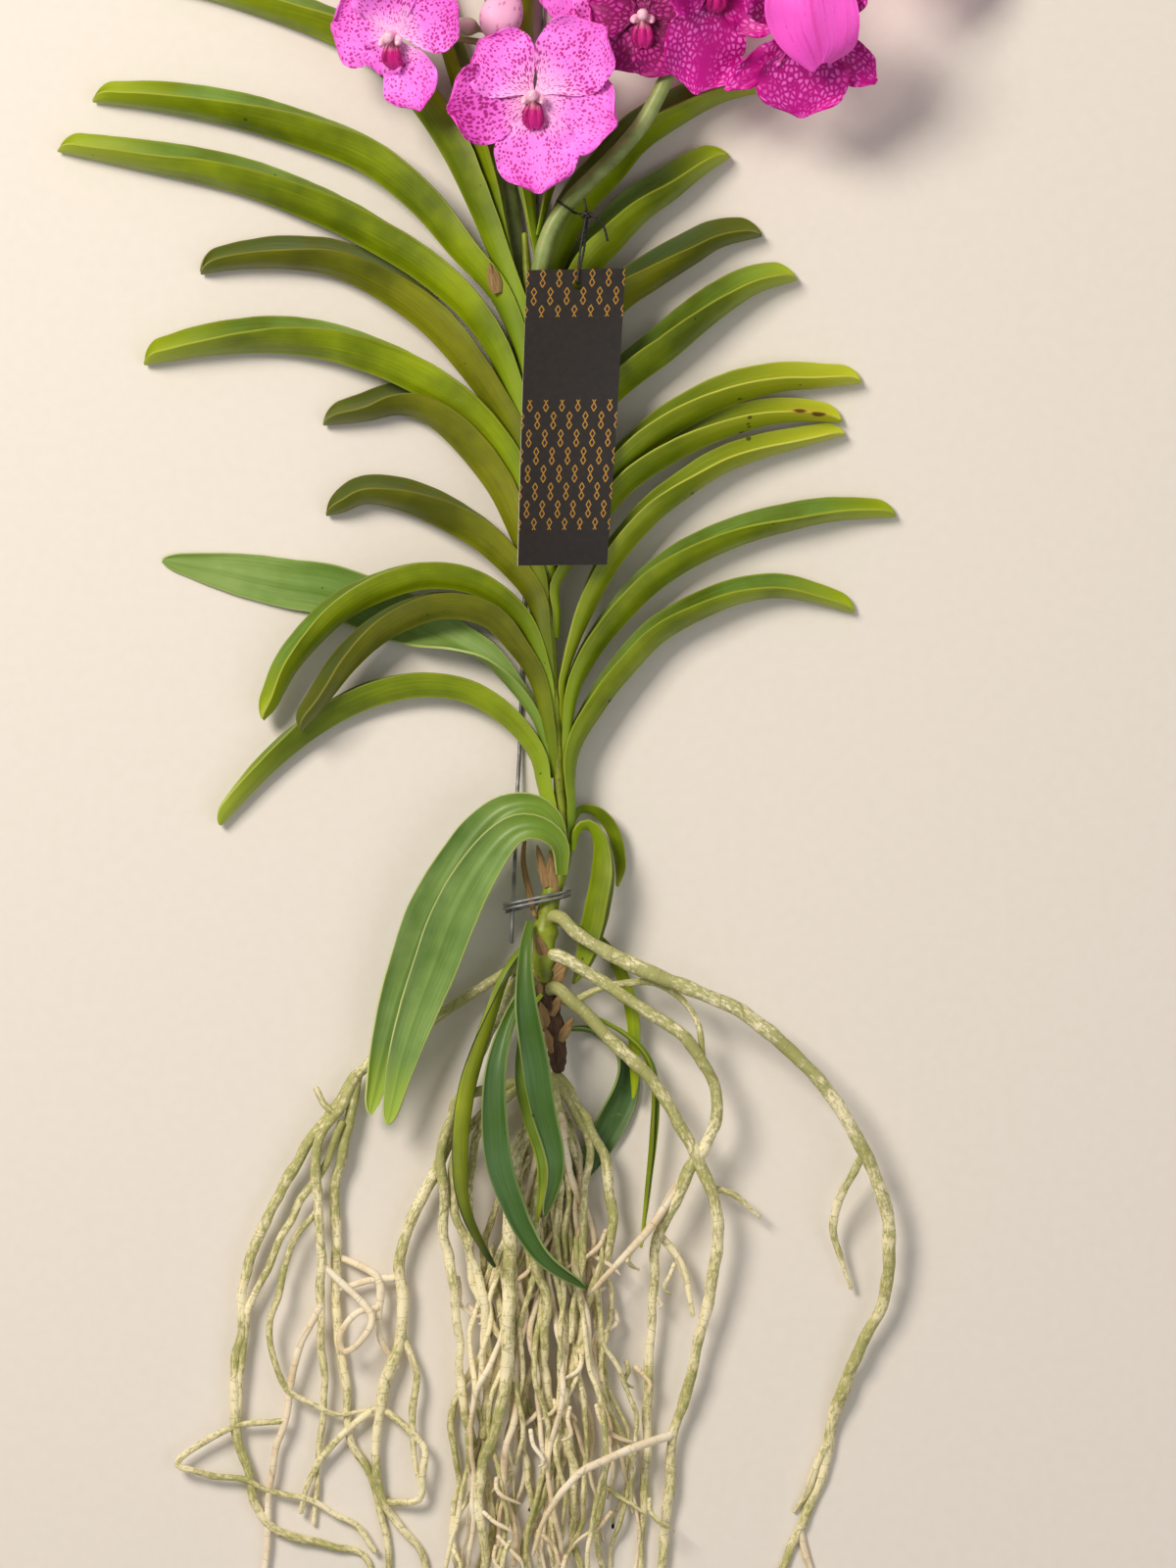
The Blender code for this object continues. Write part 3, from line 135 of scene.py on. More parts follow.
# Leaves with a narrow foot: the side their upper face turns to, the line of the fold with its
# heights, the half width, and the fold and roll from base to tip.
FOOT_WIDTH = (0.24, 0.55, 0.88, 1.0, 0.98, 0.8, 0.25)
NARROW_FOLD = (50, 38, 32, 30, 30, 32, 35)
FREE_LEAVES = {
    "leaf_left_08": (-1, ((557, 790, 18), (545, 737, 16), (500, 681, 11), (466, 659, 7),
        (430, 641, 4), (395, 624, 2.2), (337, 602, 1.6), (291, 594, 1.6), (244, 585, 1.6),
        (163, 570, 1.6)), 13.5, (45, 35, 45, 80, 82, 84, 84), (0, 10, 50, 84, 88, 88, 88)),
    "leaf_left_12": (-1, ((573, 866, 24.4), (566, 838, 30), (545, 822, 31), (515, 826, 30),
        (488, 850, 28), (462, 890, 26), (440, 930, 23), (424, 970, 21), (405, 1025, 18),
        (390, 1080, 16), (377, 1137, 14)), 12.5, (70, 75, 78, 78, 78, 78, 78),
        (80, 80, 84, 86, 88, 90, 90)),
    "leaf_left_13": (-1, ((573, 892, 25), (571, 862, 34), (553, 846, 37), (530, 845, 36),
        (508, 862, 35), (482, 900, 33), (462, 940, 31), (445, 985, 29), (428, 1030, 26),
        (410, 1085, 24), (396, 1147, 23)), 12.5, (70, 75, 78, 78, 78, 78, 78),
        (80, 80, 84, 86, 88, 90, 90)),
    "leaf_right_10": (1, ((586, 868, 18), (591, 851, 19), (600, 846, 19), (606, 862, 18),
        (603, 895, 18), (597, 925, 17), (590, 965, 15.5), (585, 1004, 13)), 13.5,
        (60, 45, 32, 28, 28, 30, 35), (0, 0, 4, 8, 10, 12, 12)),
    "leaf_right_11": (1, ((583, 846, 9), (592, 830, 8), (606, 832, 7), (620, 850, 6),
        (628, 880, 5), (630, 905, 4)), 7.0, NARROW_FOLD, (0,) * 6),
    "leaf_right_12": (1, ((568, 944, 11), (588, 948, 7), (612, 965, 6), (630, 1000, 6.5),
        (640, 1040, 8), (643, 1080, 9), (646, 1122, 9)), 7.0, NARROW_FOLD, (0,) * 6),
    "leaf_right_13": (1, ((574, 1024, 16), (600, 1036, 15), (636, 1056, 17), (658, 1080, 16),
        (666, 1110, 15), (664, 1160, 13), (660, 1209, 11), (654, 1275, 9)), 3.6,
        (60, 50, 45, 45, 45, 45, 45), (0, 10, 20, 30, 30, 30, 30)),
    "leaf_right_14": (1, ((578, 1052, 10), (604, 1056, 4), (632, 1078, 3), (636, 1110, 2.6),
        (622, 1150, 2.4), (598, 1190, 2.2), (567, 1227, 2.2)), 9.0, (50, 50, 60, 70, 75, 75, 75),
        (0, 20, 50, 70, 80, 84, 84)),
    "leaf_low_01": (-1, ((540, 962, 19), (520, 994, 26), (505, 1041, 30), (492, 1084, 32),
        (484, 1119, 33), (478, 1173, 33), (481, 1232, 33), (506, 1290, 33)), 10.5,
        (50, 40, 40, 42, 42, 42, 42), (40, 20, 0, -10, -10, 0, 0)),
    "leaf_low_02": (-1, ((547, 1000, 24.4), (534, 1012, 29), (519, 1042, 34), (508, 1085, 38),
        (506, 1130, 39), (510, 1180, 39), (523, 1222, 39), (538, 1255, 38), (560, 1284, 38),
        (599, 1311, 37)), 7.5, (60, 60, 65, 70, 65, 65, 65), (80,) * 7),
    "leaf_low_03": (-1, ((541, 940, 25), (537, 970, 37), (538, 1022, 41), (547, 1075, 40),
        (555, 1128, 39), (566, 1172, 38), (567, 1200, 38), (556, 1238, 37)), 8.0, (60,) * 7,
        (80,) * 7),
    "leaf_low_04": (-1, ((553, 1014, 24), (536, 1040, 27), (533, 1098, 29), (541, 1137, 29),
        (553, 1176, 29), (554, 1209, 29), (548, 1246, 29)), 4.0, (60,) * 7, (60,) * 7),
    "leaf_crown_01": (-1, ((524, 292, 18), (510, 240, 17), (497, 195, 16), (482, 150, 15),
        (464, 95, 14), (442, 20, 13), (414, -90, 12)), 12.5, (48, 36, 32, 34, 38, 38, 38),
        (0, 6, 14, 20, 24, 24, 24)),
    "leaf_crown_02": (1, ((553, 278, 18), (548, 225, 15), (543, 165, 12), (542, 100, 11),
        (543, 40, 10), (546, -60, 9)), 12.0, (48, 40, 36, 40, 42, 42, 42), (0, 4, 6, 6, 6, 6, 6)),
    "leaf_crown_03": (1, ((550, 240, 20), (561, 205, 22), (576, 160, 21), (591, 110, 20),
        (603, 60, 18)), 8.0, (48, 44, 40, 40, 42, 42, 42), (0,) * 7),
}

# Roots: the line of each on the grid, its heights and its radii, and where it grows straight
# out of the stem, the direction it does so in, in degrees from the right toward the front.
ROOTS_RIGHT_LONG = (
    (((575, 936), (590, 954), (629, 976), (674, 996), (719, 1014), (763, 1036), (799, 1065),
        (830, 1096), (857, 1132), (879, 1172), (897, 1208), (906, 1248), (908, 1288), (902, 1329),
        (879, 1378), (861, 1422), (848, 1467), (839, 1516), (817, 1565), (797, 1620), (786, 1690)),
        (26, 33, 28, 20, 11, 1.4, 1.4), (3.6, 3.8, 3.6, 3.4, 3.2, 2.8, 1.6), 50),
    (((880, 1178), (862, 1215), (850, 1248), (856, 1275), (870, 1318)), (21, 12, 5),
        (2.2, 2.2, 1.2)),
    (((846, 1478), (834, 1500), (824, 1530), (812, 1548)), (4, 3, 2), (2.0, 1.9, 1.0)),
    (((818, 1566), (826, 1600), (842, 1640)), (1.6, 1.6, 1.6), (2.0, 1.8, 1.0)),
)
ROOTS_RIGHT = (
    (((560, 1010), (598, 1036), (638, 1074), (674, 1114), (701, 1163), (723, 1208), (732, 1248),
        (730, 1288), (721, 1338), (710, 1382), (701, 1427), (687, 1467), (683, 1525), (676, 1600),
        (668, 1700)), (20, 24, 21, 16, 11, 6, 1.0), (3.4, 3.6, 3.2, 3.0, 2.8, 2.4, 1.3), 40),
    (((556, 976), (612, 1000), (656, 1029), (692, 1052), (714, 1079), (730, 1110), (730, 1141),
        (719, 1172), (705, 1190), (683, 1239), (669, 1271), (667, 1324), (663, 1382), (661, 1436),
        (660, 1480), (656, 1560), (650, 1660)), (23, 27, 25, 22, 18, 10, 5, 1.0),
        (3.3, 3.2, 3.0, 2.6, 2.4, 2.2, 1.2), 35),
    (((588, 1020), (616, 1007), (638, 1003), (669, 1003), (696, 1018), (712, 1045), (718, 1082)),
        (22, 26, 26, 24, 21), (1.8, 2.0, 1.8, 1.6)),
    (((687, 1467), (652, 1476), (616, 1489), (585, 1507), (558, 1543), (544, 1585)),
        (8, 22, 26, 26, 25), (2.2, 2.2, 1.8, 1.0)),
    (((724, 1212), (750, 1221), (777, 1244)), (17, 13, 9), (2.0, 1.7, 1.0)),
    (((674, 1262), (696, 1293), (708, 1345)), (13.5, 12, 12), (2.0, 2.2, 1.2)),
    (((706, 1190), (678, 1230), (656, 1262), (629, 1288), (600, 1320)), (16, 22, 26, 27),
        (2.2, 2.2, 1.2)),
)
ROOTS_LEFT = (
    (((546, 985), (505, 1000), (470, 1022), (430, 1050), (392, 1072), (362, 1098)),
        (18, 14, 10, 9, 10), (3.0, 2.8, 2.6, 2.6), 185),
    (((362, 1098), (339, 1136), (316, 1163), (293, 1203), (273, 1243), (256, 1279), (246, 1319),
        (245, 1362), (238, 1392), (238, 1438), (240, 1471), (250, 1501), (260, 1541), (276, 1564),
        (303, 1574), (339, 1584), (371, 1594), (388, 1640)), (10, 10, 8, 6, 4, 1.0),
        (2.8, 2.7, 2.5, 2.3, 1.2)),
    (((362, 1100), (346, 1133), (329, 1156), (321, 1183), (323, 1219), (326, 1259), (327, 1292),
        (326, 1325), (326, 1362), (329, 1398), (329, 1438), (324, 1490), (318, 1560)),
        (11, 15, 14, 11, 8, 2), (2.6, 2.4, 2.2, 1.1)),
    (((364, 1098), (351, 1166), (341, 1213), (341, 1252), (342, 1299), (342, 1339), (346, 1379),
        (352, 1418), (356, 1471), (376, 1508), (386, 1544), (395, 1600), (398, 1690)),
        (10, 6, 5, 4, 3, 1.0), (2.8, 2.6, 2.4, 2.0, 1.1)),
    (((348, 1146), (326, 1199), (303, 1229), (293, 1252), (276, 1286), (260, 1322), (250, 1342),
        (248, 1369), (243, 1412), (241, 1451)), (12, 9, 9, 8, 6), (2.0, 1.9, 1.8)),
    (((324, 1236), (299, 1266), (291, 1292), (283, 1325), (274, 1352), (277, 1385), (289, 1415),
        (303, 1428), (339, 1445), (372, 1443)), (12, 12, 12, 10, 6), (1.8, 1.8, 1.7, 1.0)),
    (((326, 1335), (306, 1375), (296, 1412), (289, 1451), (276, 1505), (271, 1550), (268, 1620),
        (262, 1680)), (12, 9, 7, 4, 0.8), (1.9, 1.9, 1.8, 1.0)),
    (((288, 1453), (260, 1455), (233, 1460), (203, 1476), (179, 1498), (210, 1508), (246, 1513),
        (269, 1524), (316, 1536), (339, 1548), (362, 1561), (382, 1590)), (8, 8, 8, 6, 5, 4),
        (1.7, 1.7, 1.6, 1.6)),
    (((382, 1440), (356, 1460), (332, 1485), (316, 1511), (304, 1548)), (6, 7, 6, 5),
        (1.9, 1.9, 1.4)),
    (((329, 1292), (352, 1315), (379, 1342), (369, 1368), (350, 1380), (346, 1362), (362, 1342),
        (384, 1336)), (12, 14, 17, 16, 14, 11), (1.8, 1.8, 1.6)),
    (((344, 1140), (330, 1128), (322, 1110)), (13, 13, 14), (2.0, 1.8, 1.4)),
    (((550, 992), (505, 1040), (470, 1120), (452, 1180), (425, 1233), (412, 1266), (407, 1296),
        (410, 1329), (409, 1362), (399, 1395), (389, 1428), (384, 1461), (382, 1501), (389, 1534),
        (405, 1561), (424, 1581), (434, 1610), (432, 1680)), (17, 12, 9, 7, 6, 4, 1.0),
        (3.2, 3.2, 3.0, 2.8, 2.4, 1.3), 200),
    (((407, 1306), (376, 1309), (345, 1318)), (6, 8, 5), (2.0, 1.8, 1.4)),
    (((408, 1362), (422, 1395), (424, 1415), (420, 1445), (422, 1485), (430, 1530)), (6, 9, 6),
        (1.9, 1.9, 1.1)),
    (((388, 1440), (412, 1458), (432, 1480), (430, 1505), (427, 1534), (393, 1538)),
        (5, 10, 10, 4), (1.9, 1.9, 1.6)),
    (((343, 1285), (376, 1299), (387, 1319), (386, 1362), (404, 1400)), (4, 10, 10, 6),
        (1.9, 1.9, 1.5)),
)
ROOTS_CENTRE = (
    (((566, 1100), (505, 1108), (460, 1118), (447, 1145), (445, 1176), (447, 1219), (444, 1249),
        (449, 1280), (455, 1312), (463, 1355), (473, 1385), (483, 1422), (490, 1461), (495, 1505),
        (490, 1544), (491, 1600), (486, 1700)), (17, 22, 20, 16, 11, 6, 1.0),
        (2.8, 2.6, 2.4, 2.2, 1.2)),
    (((564, 1100), (520, 1112), (476, 1150), (466, 1213), (466, 1259), (475, 1292), (490, 1332),
        (496, 1372), (498, 1412), (496, 1470)), (17, 19, 18, 14, 9), (2.4, 2.3, 2.0)),
    (((566, 1098), (520, 1114), (491, 1145), (485, 1186), (480, 1239), (476, 1286), (484, 1330),
        (510, 1380)), (17, 20, 21, 18, 13), (2.4, 2.2, 1.9)),
    (((566, 1100), (546, 1150), (525, 1215), (517, 1250), (515, 1312), (513, 1355), (515, 1395),
        (511, 1432), (505, 1461), (498, 1498), (493, 1560), (500, 1640), (506, 1740)),
        (17, 20, 22, 20, 15, 9, 1.0), (3.6, 3.8, 3.4, 3.0, 2.2, 1.2)),
    (((568, 1098), (596, 1122), (612, 1150), (617, 1189), (615, 1246), (612, 1286), (602, 1319),
        (590, 1362), (587, 1405), (583, 1455), (586, 1495), (586, 1544), (589, 1600), (596, 1700)),
        (17, 17, 15, 11, 8, 1.0), (2.8, 2.6, 2.4, 2.2, 1.2)),
    (((568, 1102), (592, 1156), (599, 1206), (596, 1252), (588, 1310), (592, 1370)),
        (17, 19, 18, 13), (2.2, 2.0, 1.6)),
    (((567, 1102), (558, 1180), (546, 1240), (544, 1292), (560, 1325), (562, 1365), (556, 1420),
        (560, 1480), (552, 1560), (548, 1650), (556, 1760)), (17, 18, 18, 15, 11, 6, 1.0),
        (2.6, 2.6, 2.4, 2.2, 1.2)),
)

# A bloom: the grid place and height of its heart, the way it faces, and its sepals and petals,
# each with the angle it points at, its length, its width and how far its tip comes forward.
BLOOMS = {
    "bloom_left_01": ((546, 107, 52), (-0.12, -0.10, 1), "petal_light", ((43, 50, 41, 3),
        (-20, 45, 42, 6), (-87, 49, 42, 5), (188, 44, 40, 8), (134, 40, 38, 0))),
    "bloom_left_02": ((404, 44, 46), (-0.4, -0.3, 1), "petal_light", ((20, 42, 36, 6),
        (95, 34, 34, 18), (168, 34, 38, 2), (-72, 40, 30, 6), (-120, 22, 22, 0))),
    "bloom_left_03": ((600, -40, 34), (0.0, -0.25, 1), "petal_light", ((-62, 36, 36, 4),
        (-118, 36, 36, 4), (20, 38, 34, 4), (90, 38, 34, 2), (160, 38, 34, 4))),
    "bloom_left_04": ((452, -150, 40), (-0.5, 0.2, 1), "petal_light", ((18, 42, 38, 5),
        (90, 42, 36, 3), (162, 42, 38, 5), (234, 42, 36, 5), (306, 42, 36, 5))),
    "bloom_right_01": ((655, 24, 46), (0.0, -0.1, 1), "petal_deep", ((-58, 34, 34, 0),
        (-122, 31, 34, -1), (14, 30, 30, 2), (90, 36, 34, 0), (166, 28, 30, 0))),
    "bloom_right_02": ((729, -10, 55), (0.3, -0.35, 1), "petal_deep", ((-97, 58, 42, 6),
        (-30, 38, 30, 16), (40, 42, 36, 4), (112, 42, 36, 2), (190, 30, 30, 14))),
    "bloom_right_03": ((815, 40, 62), (0.1, -0.35, 1), "petal_deep", ((-88, 46, 46, 2),
        (-35, 48, 22, 2), (60, 38, 40, 12), (128, 38, 36, 12), (-138, 50, 14, -4))),
    "bloom_right_04": ((925, -70, 46), (0.5, -0.1, 1), "petal_deep", ((-90, 36, 34, 4),
        (-18, 40, 36, 4), (54, 40, 34, 2), (126, 40, 36, 4), (198, 38, 34, 4))),
    "bloom_right_05": ((684, -150, 54), (-0.1, 0.2, 1), "petal_deep", ((-90, 42, 36, 4),
        (-18, 42, 38, 4), (54, 42, 36, 3), (126, 42, 38, 4), (198, 42, 36, 4))),
    "bloom_right_06": ((838, -150, 50), (0.35, 0.2, 1), "petal_deep", ((-80, 42, 36, 4),
        (-8, 42, 38, 4), (64, 42, 36, 3), (136, 42, 38, 4), (208, 42, 36, 4))),
}

RIGHT_RACHIS = (
    (549, 318, 31.5), (551, 276, 32), (562, 238, 34), (582, 208, 35), (608, 182, 36),
    (635, 155, 37), (656, 129, 38), (675, 94, 38), (690, 60, 37), (706, 10, 35), (722, -60, 33),
    (738, -130, 32), (752, -190, 31), (760, -232, 31),
)
LEFT_RACHIS = (
    (533, 292, 4.6), (525, 232, 4.8), (516, 160, 6), (513, 118, 9), (511, 80, 17), (505, 30, 23),
    (496, -30, 24), (486, -90, 25), (480, -150, 26), (476, -190, 26),
)
PEDICEL_STARTS = {
    "bloom_left_01": (511, 78, 18), "bloom_left_02": (507, 46, 22),
    "bloom_left_03": (491, -40, 24), "bloom_left_04": (483, -120, 25),
    "bloom_right_01": (691, 58, 37), "bloom_right_02": (706, 10, 35),
    "bloom_right_03": (716, -34, 34), "bloom_right_04": (727, -80, 33),
    "bloom_right_05": (735, -116, 32), "bloom_right_06": (744, -156, 31.5),
}
# Young buds: the spike's side, the foot, the tip and the largest radius.
YOUNG_BUDS = (
    (-1, (499, 34, 23), (462, 26, 34), 4.4),
    (-1, (478, -180, 26), (470, -232, 28), 4.2),
    (-1, (480, -150, 26), (520, -196, 26), 4.6),
    (1, (754, -196, 31), (722, -244, 34), 5.0),
    (1, (760, -225, 31), (778, -286, 31), 4.2),
    (1, (757, -205, 31), (806, -246, 33), 4.6),
)
PINK_BUD = (
    (502, -6, 29), (518, -16, 31), (527, -8, 33), (520, 6, 35), (510, 26, 36), (502, 48, 35),
)
HUSK_STALK = ((546, 935, 23.2), (541, 915, 16), (534, 880, 14), (536, 850, 15))
# Each torn sheath: its foot on the stem, its tip and its half width.
HUSKS = (
    ((566, 912, 22.4), (561, 868, 25.5), 3.0),
    ((558, 905, 23.0), (548, 862, 25.0), 2.4),
    ((566, 1004, 23.0), (578, 986, 25.5), 2.6),
    ((552, 1016, 23.2), (544, 996, 25.0), 2.6),
    ((562, 1036, 23.4), (574, 1012, 26.0), 2.4),
    ((560, 1050, 22.5), (551, 1022, 26.0), 3.0),
    ((571, 1062, 22.0), (585, 1038, 25.0), 2.6),
    ((557, 978, 23.6), (547, 952, 26.5), 2.8),
    ((566, 992, 23.6), (582, 974, 26.5), 2.4),
    ((565, 1074, 21.5), (556, 1048, 25.0), 2.4),
    ((549, 1004, 23.6), (538, 988, 25.5), 2.0),
    ((508, 300, 26.0), (500, 270, 29.0), 3.4),
)
HANGER = (
    (522, 962, 20), (523, 925, 18.5), (525, 880, 13), (527, 820, 7), (530, 760, 3),
    (532, 690, 1.4), (535, 600, 1.4), (541, 420, 1.4), (548, 200, 1.4), (556, -40, 1.4),
    (562, -190, 1.4),
)


class Side(Enum):
    """The rank a leaf stands in, left or right of the stem."""

    LEFT = -1
    RIGHT = 1


def linear(code: str) -> tuple[float, float, float, float]:
    """Turn an sRGB hex colour into linear values.

    Args:
        code: The colour, as #RRGGBB.

    Returns:
        Red, green, blue and an alpha of 1.
    """
    parts = [int(code[start:start + 2], 16) / 255 for start in (1, 3, 5)]
    bright = [part / 12.92 if part <= 0.04045 else ((part + 0.055) / 1.055) ** 2.4
              for part in parts]
    return (*bright, 1.0)


def spot(across: float, down: float, height: float) -> Vector:
    """Turn a place on the front grid and a height in millimetres into a point.

    Args:
        across: Steps to the right.
        down: Steps down the front.
        height: Millimetres above the surface.

    Returns:
        The point, in metres.
    """
    return Vector((
        (across - GRID_MIDDLE[0]) * GRID_STEP,
        (GRID_MIDDLE[1] - down) * GRID_STEP,
        height * MM,
    ))


def blend(values: Sequence[float], part: float) -> float:
    """Read evenly spaced values a part of the way along, on straight lines between them.

    Args:
        values: The values.
        part: How far along, from 0 to 1.

    Returns:
        The value there.
    """
    place = min(max(part, 0.0), 1.0) * (len(values) - 1)
    first = min(int(place), len(values) - 2)
    return values[first] + (values[first + 1] - values[first]) * (place - first)


def swell(values: Sequence[float], part: float) -> float:
    """Read evenly spaced values a part of the way along, on a smooth curve through them.

    Args:
        values: The values.
        part: How far along, from 0 to 1.

    Returns:
        The value there.
    """
    place = min(max(part, 0.0), 1.0) * (len(values) - 1)
    at = min(int(place), len(values) - 2)
    t = place - at
    b, c = values[at], values[at + 1]
    a = values[at - 1] if at else 2 * b - c
    d = values[at + 2] if at + 2 < len(values) else 2 * c - b
    return 0.5 * (2 * b + (c - a) * t + (2 * a - 5 * b + 4 * c - d) * t**2
                  + (3 * b - a - 3 * c + d) * t**3)


def smooth(points: Sequence[Vector], count: int, steps: int = 12) -> list[Vector]:
    """Space points evenly along the smooth line through the given ones.

    Args:
        points: The points the line goes through.
        count: How many points to return.
        steps: How finely each stretch is followed.

    Returns:
        The evenly spaced points.
    """
    ends = [2 * points[0] - points[1], *points, 2 * points[-1] - points[-2]]
    line = []
    for a, b, c, d in zip(ends, ends[1:], ends[2:], ends[3:]):
        for step in range(steps):
            t = step / steps
            line.append(0.5 * (
                2 * b + (c - a) * t + (2 * a - 5 * b + 4 * c - d) * t**2
                + (3 * b - a - 3 * c + d) * t**3
            ))
    line.append(points[-1].copy())
    reach = [0.0]
    for a, b in zip(line, line[1:]):
        reach.append(reach[-1] + (b - a).length)
    spaced = []
    segment = 0
    for index in range(count):
        goal = reach[-1] * index / (count - 1)
        while segment < len(line) - 2 and reach[segment + 1] < goal:
            segment += 1
        span = reach[segment + 1] - reach[segment]
        spaced.append(line[segment].lerp(line[segment + 1], (goal - reach[segment]) / span))
    return spaced


def length_of(line: Sequence[Vector]) -> float:
    """Return the length of a line of points."""
    return sum((b - a).length for a, b in zip(line, line[1:]))


class Graph:
    """A new material's shader nodes, which lead up to its Principled shader."""

    def __init__(self, name: str) -> None:
        """Start a material.

        Args:
            name: Its name.
        """
        self.material = bpy.data.materials.new(name)
        self.material.use_nodes = True
        self.tree = self.material.node_tree

    def fill(self, socket: bpy.types.NodeSocket, value: Any) -> None:
        """Link a socket from another one, or set it to a value or a hex colour.

        Args:
            socket: The socket.
            value: The other one, or the value.
        """
        if isinstance(value, bpy.types.NodeSocket):
            self.tree.links.new(value, socket)
        else:
            socket.default_value = linear(value) if isinstance(value, str) else value

    def node(self, kind: str, *values: Any, out: str = "", named: dict[str, Any] | None = None,
             **settings: Any) -> bpy.types.NodeSocket:
        """Add a shader node with its settings, and fill or link its sockets.

        Args:
            kind: The node's type name, after the words they all share.
            *values: What its open sockets get, in order.
            out: The name of the output that is wanted, if not the first open one.
            named: What further sockets get, by name.
            **settings: The node's own settings. A mix is of colours.

        Returns:
            The output.
        """
        made = self.tree.nodes.new("ShaderNode" + kind)
        if kind == "Mix":
            made.data_type = "RGBA"
        for name, value in settings.items():
            setattr(made, name, value)
        for socket, value in zip([each for each in made.inputs if each.enabled], values):
            self.fill(socket, value)
        for name, value in (named or {}).items():
            self.fill(made.inputs[name], value)
        return made.outputs[out] if out else next(each for each in made.outputs
                                                  if each.enabled)

    def finish(self, colour: Any, roughness: Any, **sockets: Any) -> bpy.types.Material:
        """Fill the Principled shader's sockets.

        Args:
            colour: The base colour.
            roughness: The roughness.
            **sockets: The other sockets, with underscores for spaces.

        Returns:
            The material.
        """
        shader = self.tree.nodes["Principled BSDF"]
        for name, value in {"Base_Color": colour, "Roughness": roughness, **sockets}.items():
            self.fill(shader.inputs[name.replace("_", " ")], value)
        return self.material


def only(piece: bpy.types.Object) -> None:
    """Select one object and nothing else, and make it the active one.

    Args:
        piece: The object.
    """
    bpy.ops.object.select_all(action="DESELECT")
    piece.select_set(True)
    bpy.context.view_layer.objects.active = piece


def grid_sheet(name: str, columns: int, rows: int, place: Place,
               size: tuple[float, float], ease: float = 1.0) -> bpy.types.Object:
    """Add a flat grid and lay each of its points where it goes.

    Args:
        name: The piece's name.
        columns: Faces across.
        rows: Faces along.
        place: Gives a point from its share across, -1 to 1, and along, 0 to 1.
        size: Full width and length in millimetres, which the second UV map is in.
        ease: Above 1, the rows stand closer toward the far end.

    Returns:
        The new piece, still an open sheet.
    """
    bpy.ops.object.select_all(action="DESELECT")
    bpy.ops.mesh.primitive_grid_add(x_subdivisions=columns, y_subdivisions=rows, size=2)
    piece = bpy.context.object
    piece.name = name
    mesh = piece.data
    mesh.uv_layers[0].name = "share"
    shares = [(vertex.co.x, 1 - (max(0.0, 1 - vertex.co.y) / 2) ** ease)
              for vertex in mesh.vertices]
    real = mesh.uv_layers.new(name="millimetres")
    flat = mesh.uv_layers["share"]
    for loop in mesh.loops:
        across, along = shares[loop.vertex_index]
        flat.uv[loop.index].vector = ((across + 1) / 2, along)
        real.uv[loop.index].vector = (across * size[0] / 2, along * size[1])
    for vertex, (across, along) in zip(mesh.vertices, shares):
        vertex.co = place(across, along)
    return piece


def thicken(piece: bpy.types.Object, thickness: float, both: bool = True,
            rim: int = 0) -> None:
    """Give a sheet its thickness, with its second face in the next material.

    The sheet has its finishes already.

    Args:
        piece: The sheet.
        thickness: In millimetres.
        both: Whether the second face has a material of its own.
        rim: The rim's material.
    """
    only(piece)
    shell = piece.modifiers.new("thickness", "SOLIDIFY")
    shell.thickness = thickness * MM
    shell.offset = 0.0
    shell.material_offset = 1 if both else 0
    shell.material_offset_rim = rim
    bpy.ops.object.modifier_apply(modifier=shell.name)


def sweep(name: str, line: Sequence[Vector], radii: Sequence[float], sides: int,
          shape: Callable[[float, float], float] | None = None) -> bpy.types.Object:
    """Wrap a grid into a round rod along a line, closed at both ends.

    Args:
        name: The piece's name.
        line: The rod's middle line.
        radii: Its radius in millimetres at each point of the line.
        sides: Faces round it.
        shape: Scales the radius by the share round and the share along.

    Returns:
        The rod.
    """
    frames = []
    side = None
    for index, point in enumerate(line):
        ahead = (line[min(index + 1, len(line) - 1)] - line[max(index - 1, 0)]).normalized()
        if side is None:
            side = ahead.orthogonal().normalized()
        side = (side - ahead * side.dot(ahead)).normalized()
        frames.append((point, side.copy(), ahead.cross(side), ahead))
    last = len(line) - 1
    rings = [(0, 0.0, -0.55), (0, 0.7, -0.3), *((i, 1.0, 0.0) for i in range(last + 1)),
             (last, 0.7, 0.3), (last, 0.0, 0.55)]

    def place(across: float, along: float) -> Vector:
        """Give a point of the rod's skin."""
        index, share, push = rings[round(along * (len(rings) - 1))]
        middle, right, up, ahead = frames[index]
        angle = across * math.pi
        radius = radii[index] * MM
        scale = shape((across + 1) / 2, index / last) if shape else 1.0
        turn = right * math.cos(angle) + up * math.sin(angle)
        return middle + turn * radius * share * scale + ahead * push * radius

    size = (2 * math.pi * max(radii), length_of(line) / MM)
    piece = grid_sheet(name, sides, len(rings) - 1, place, size)
    close_up(piece)
    return piece


def rod(name: str, points: Sequence[Vector], radii: Sequence[float], count: int, sides: int,
        shape: Callable[[float, float], float] | None = None) -> bpy.types.Object:
    """Sweep a rod along the smooth line through a few points.

    Args:
        name: The piece's name.
        points: The points.
        radii: A few radii in millimetres, spread evenly along it.
        count: How many rings it gets.
        sides: Faces round it.
        shape: Scales the radius by the share round and the share along.

    Returns:
        The rod.
    """
    thick = [swell(radii, index / (count - 1)) for index in range(count)]
    return sweep(name, smooth(points, count), thick, sides, shape)


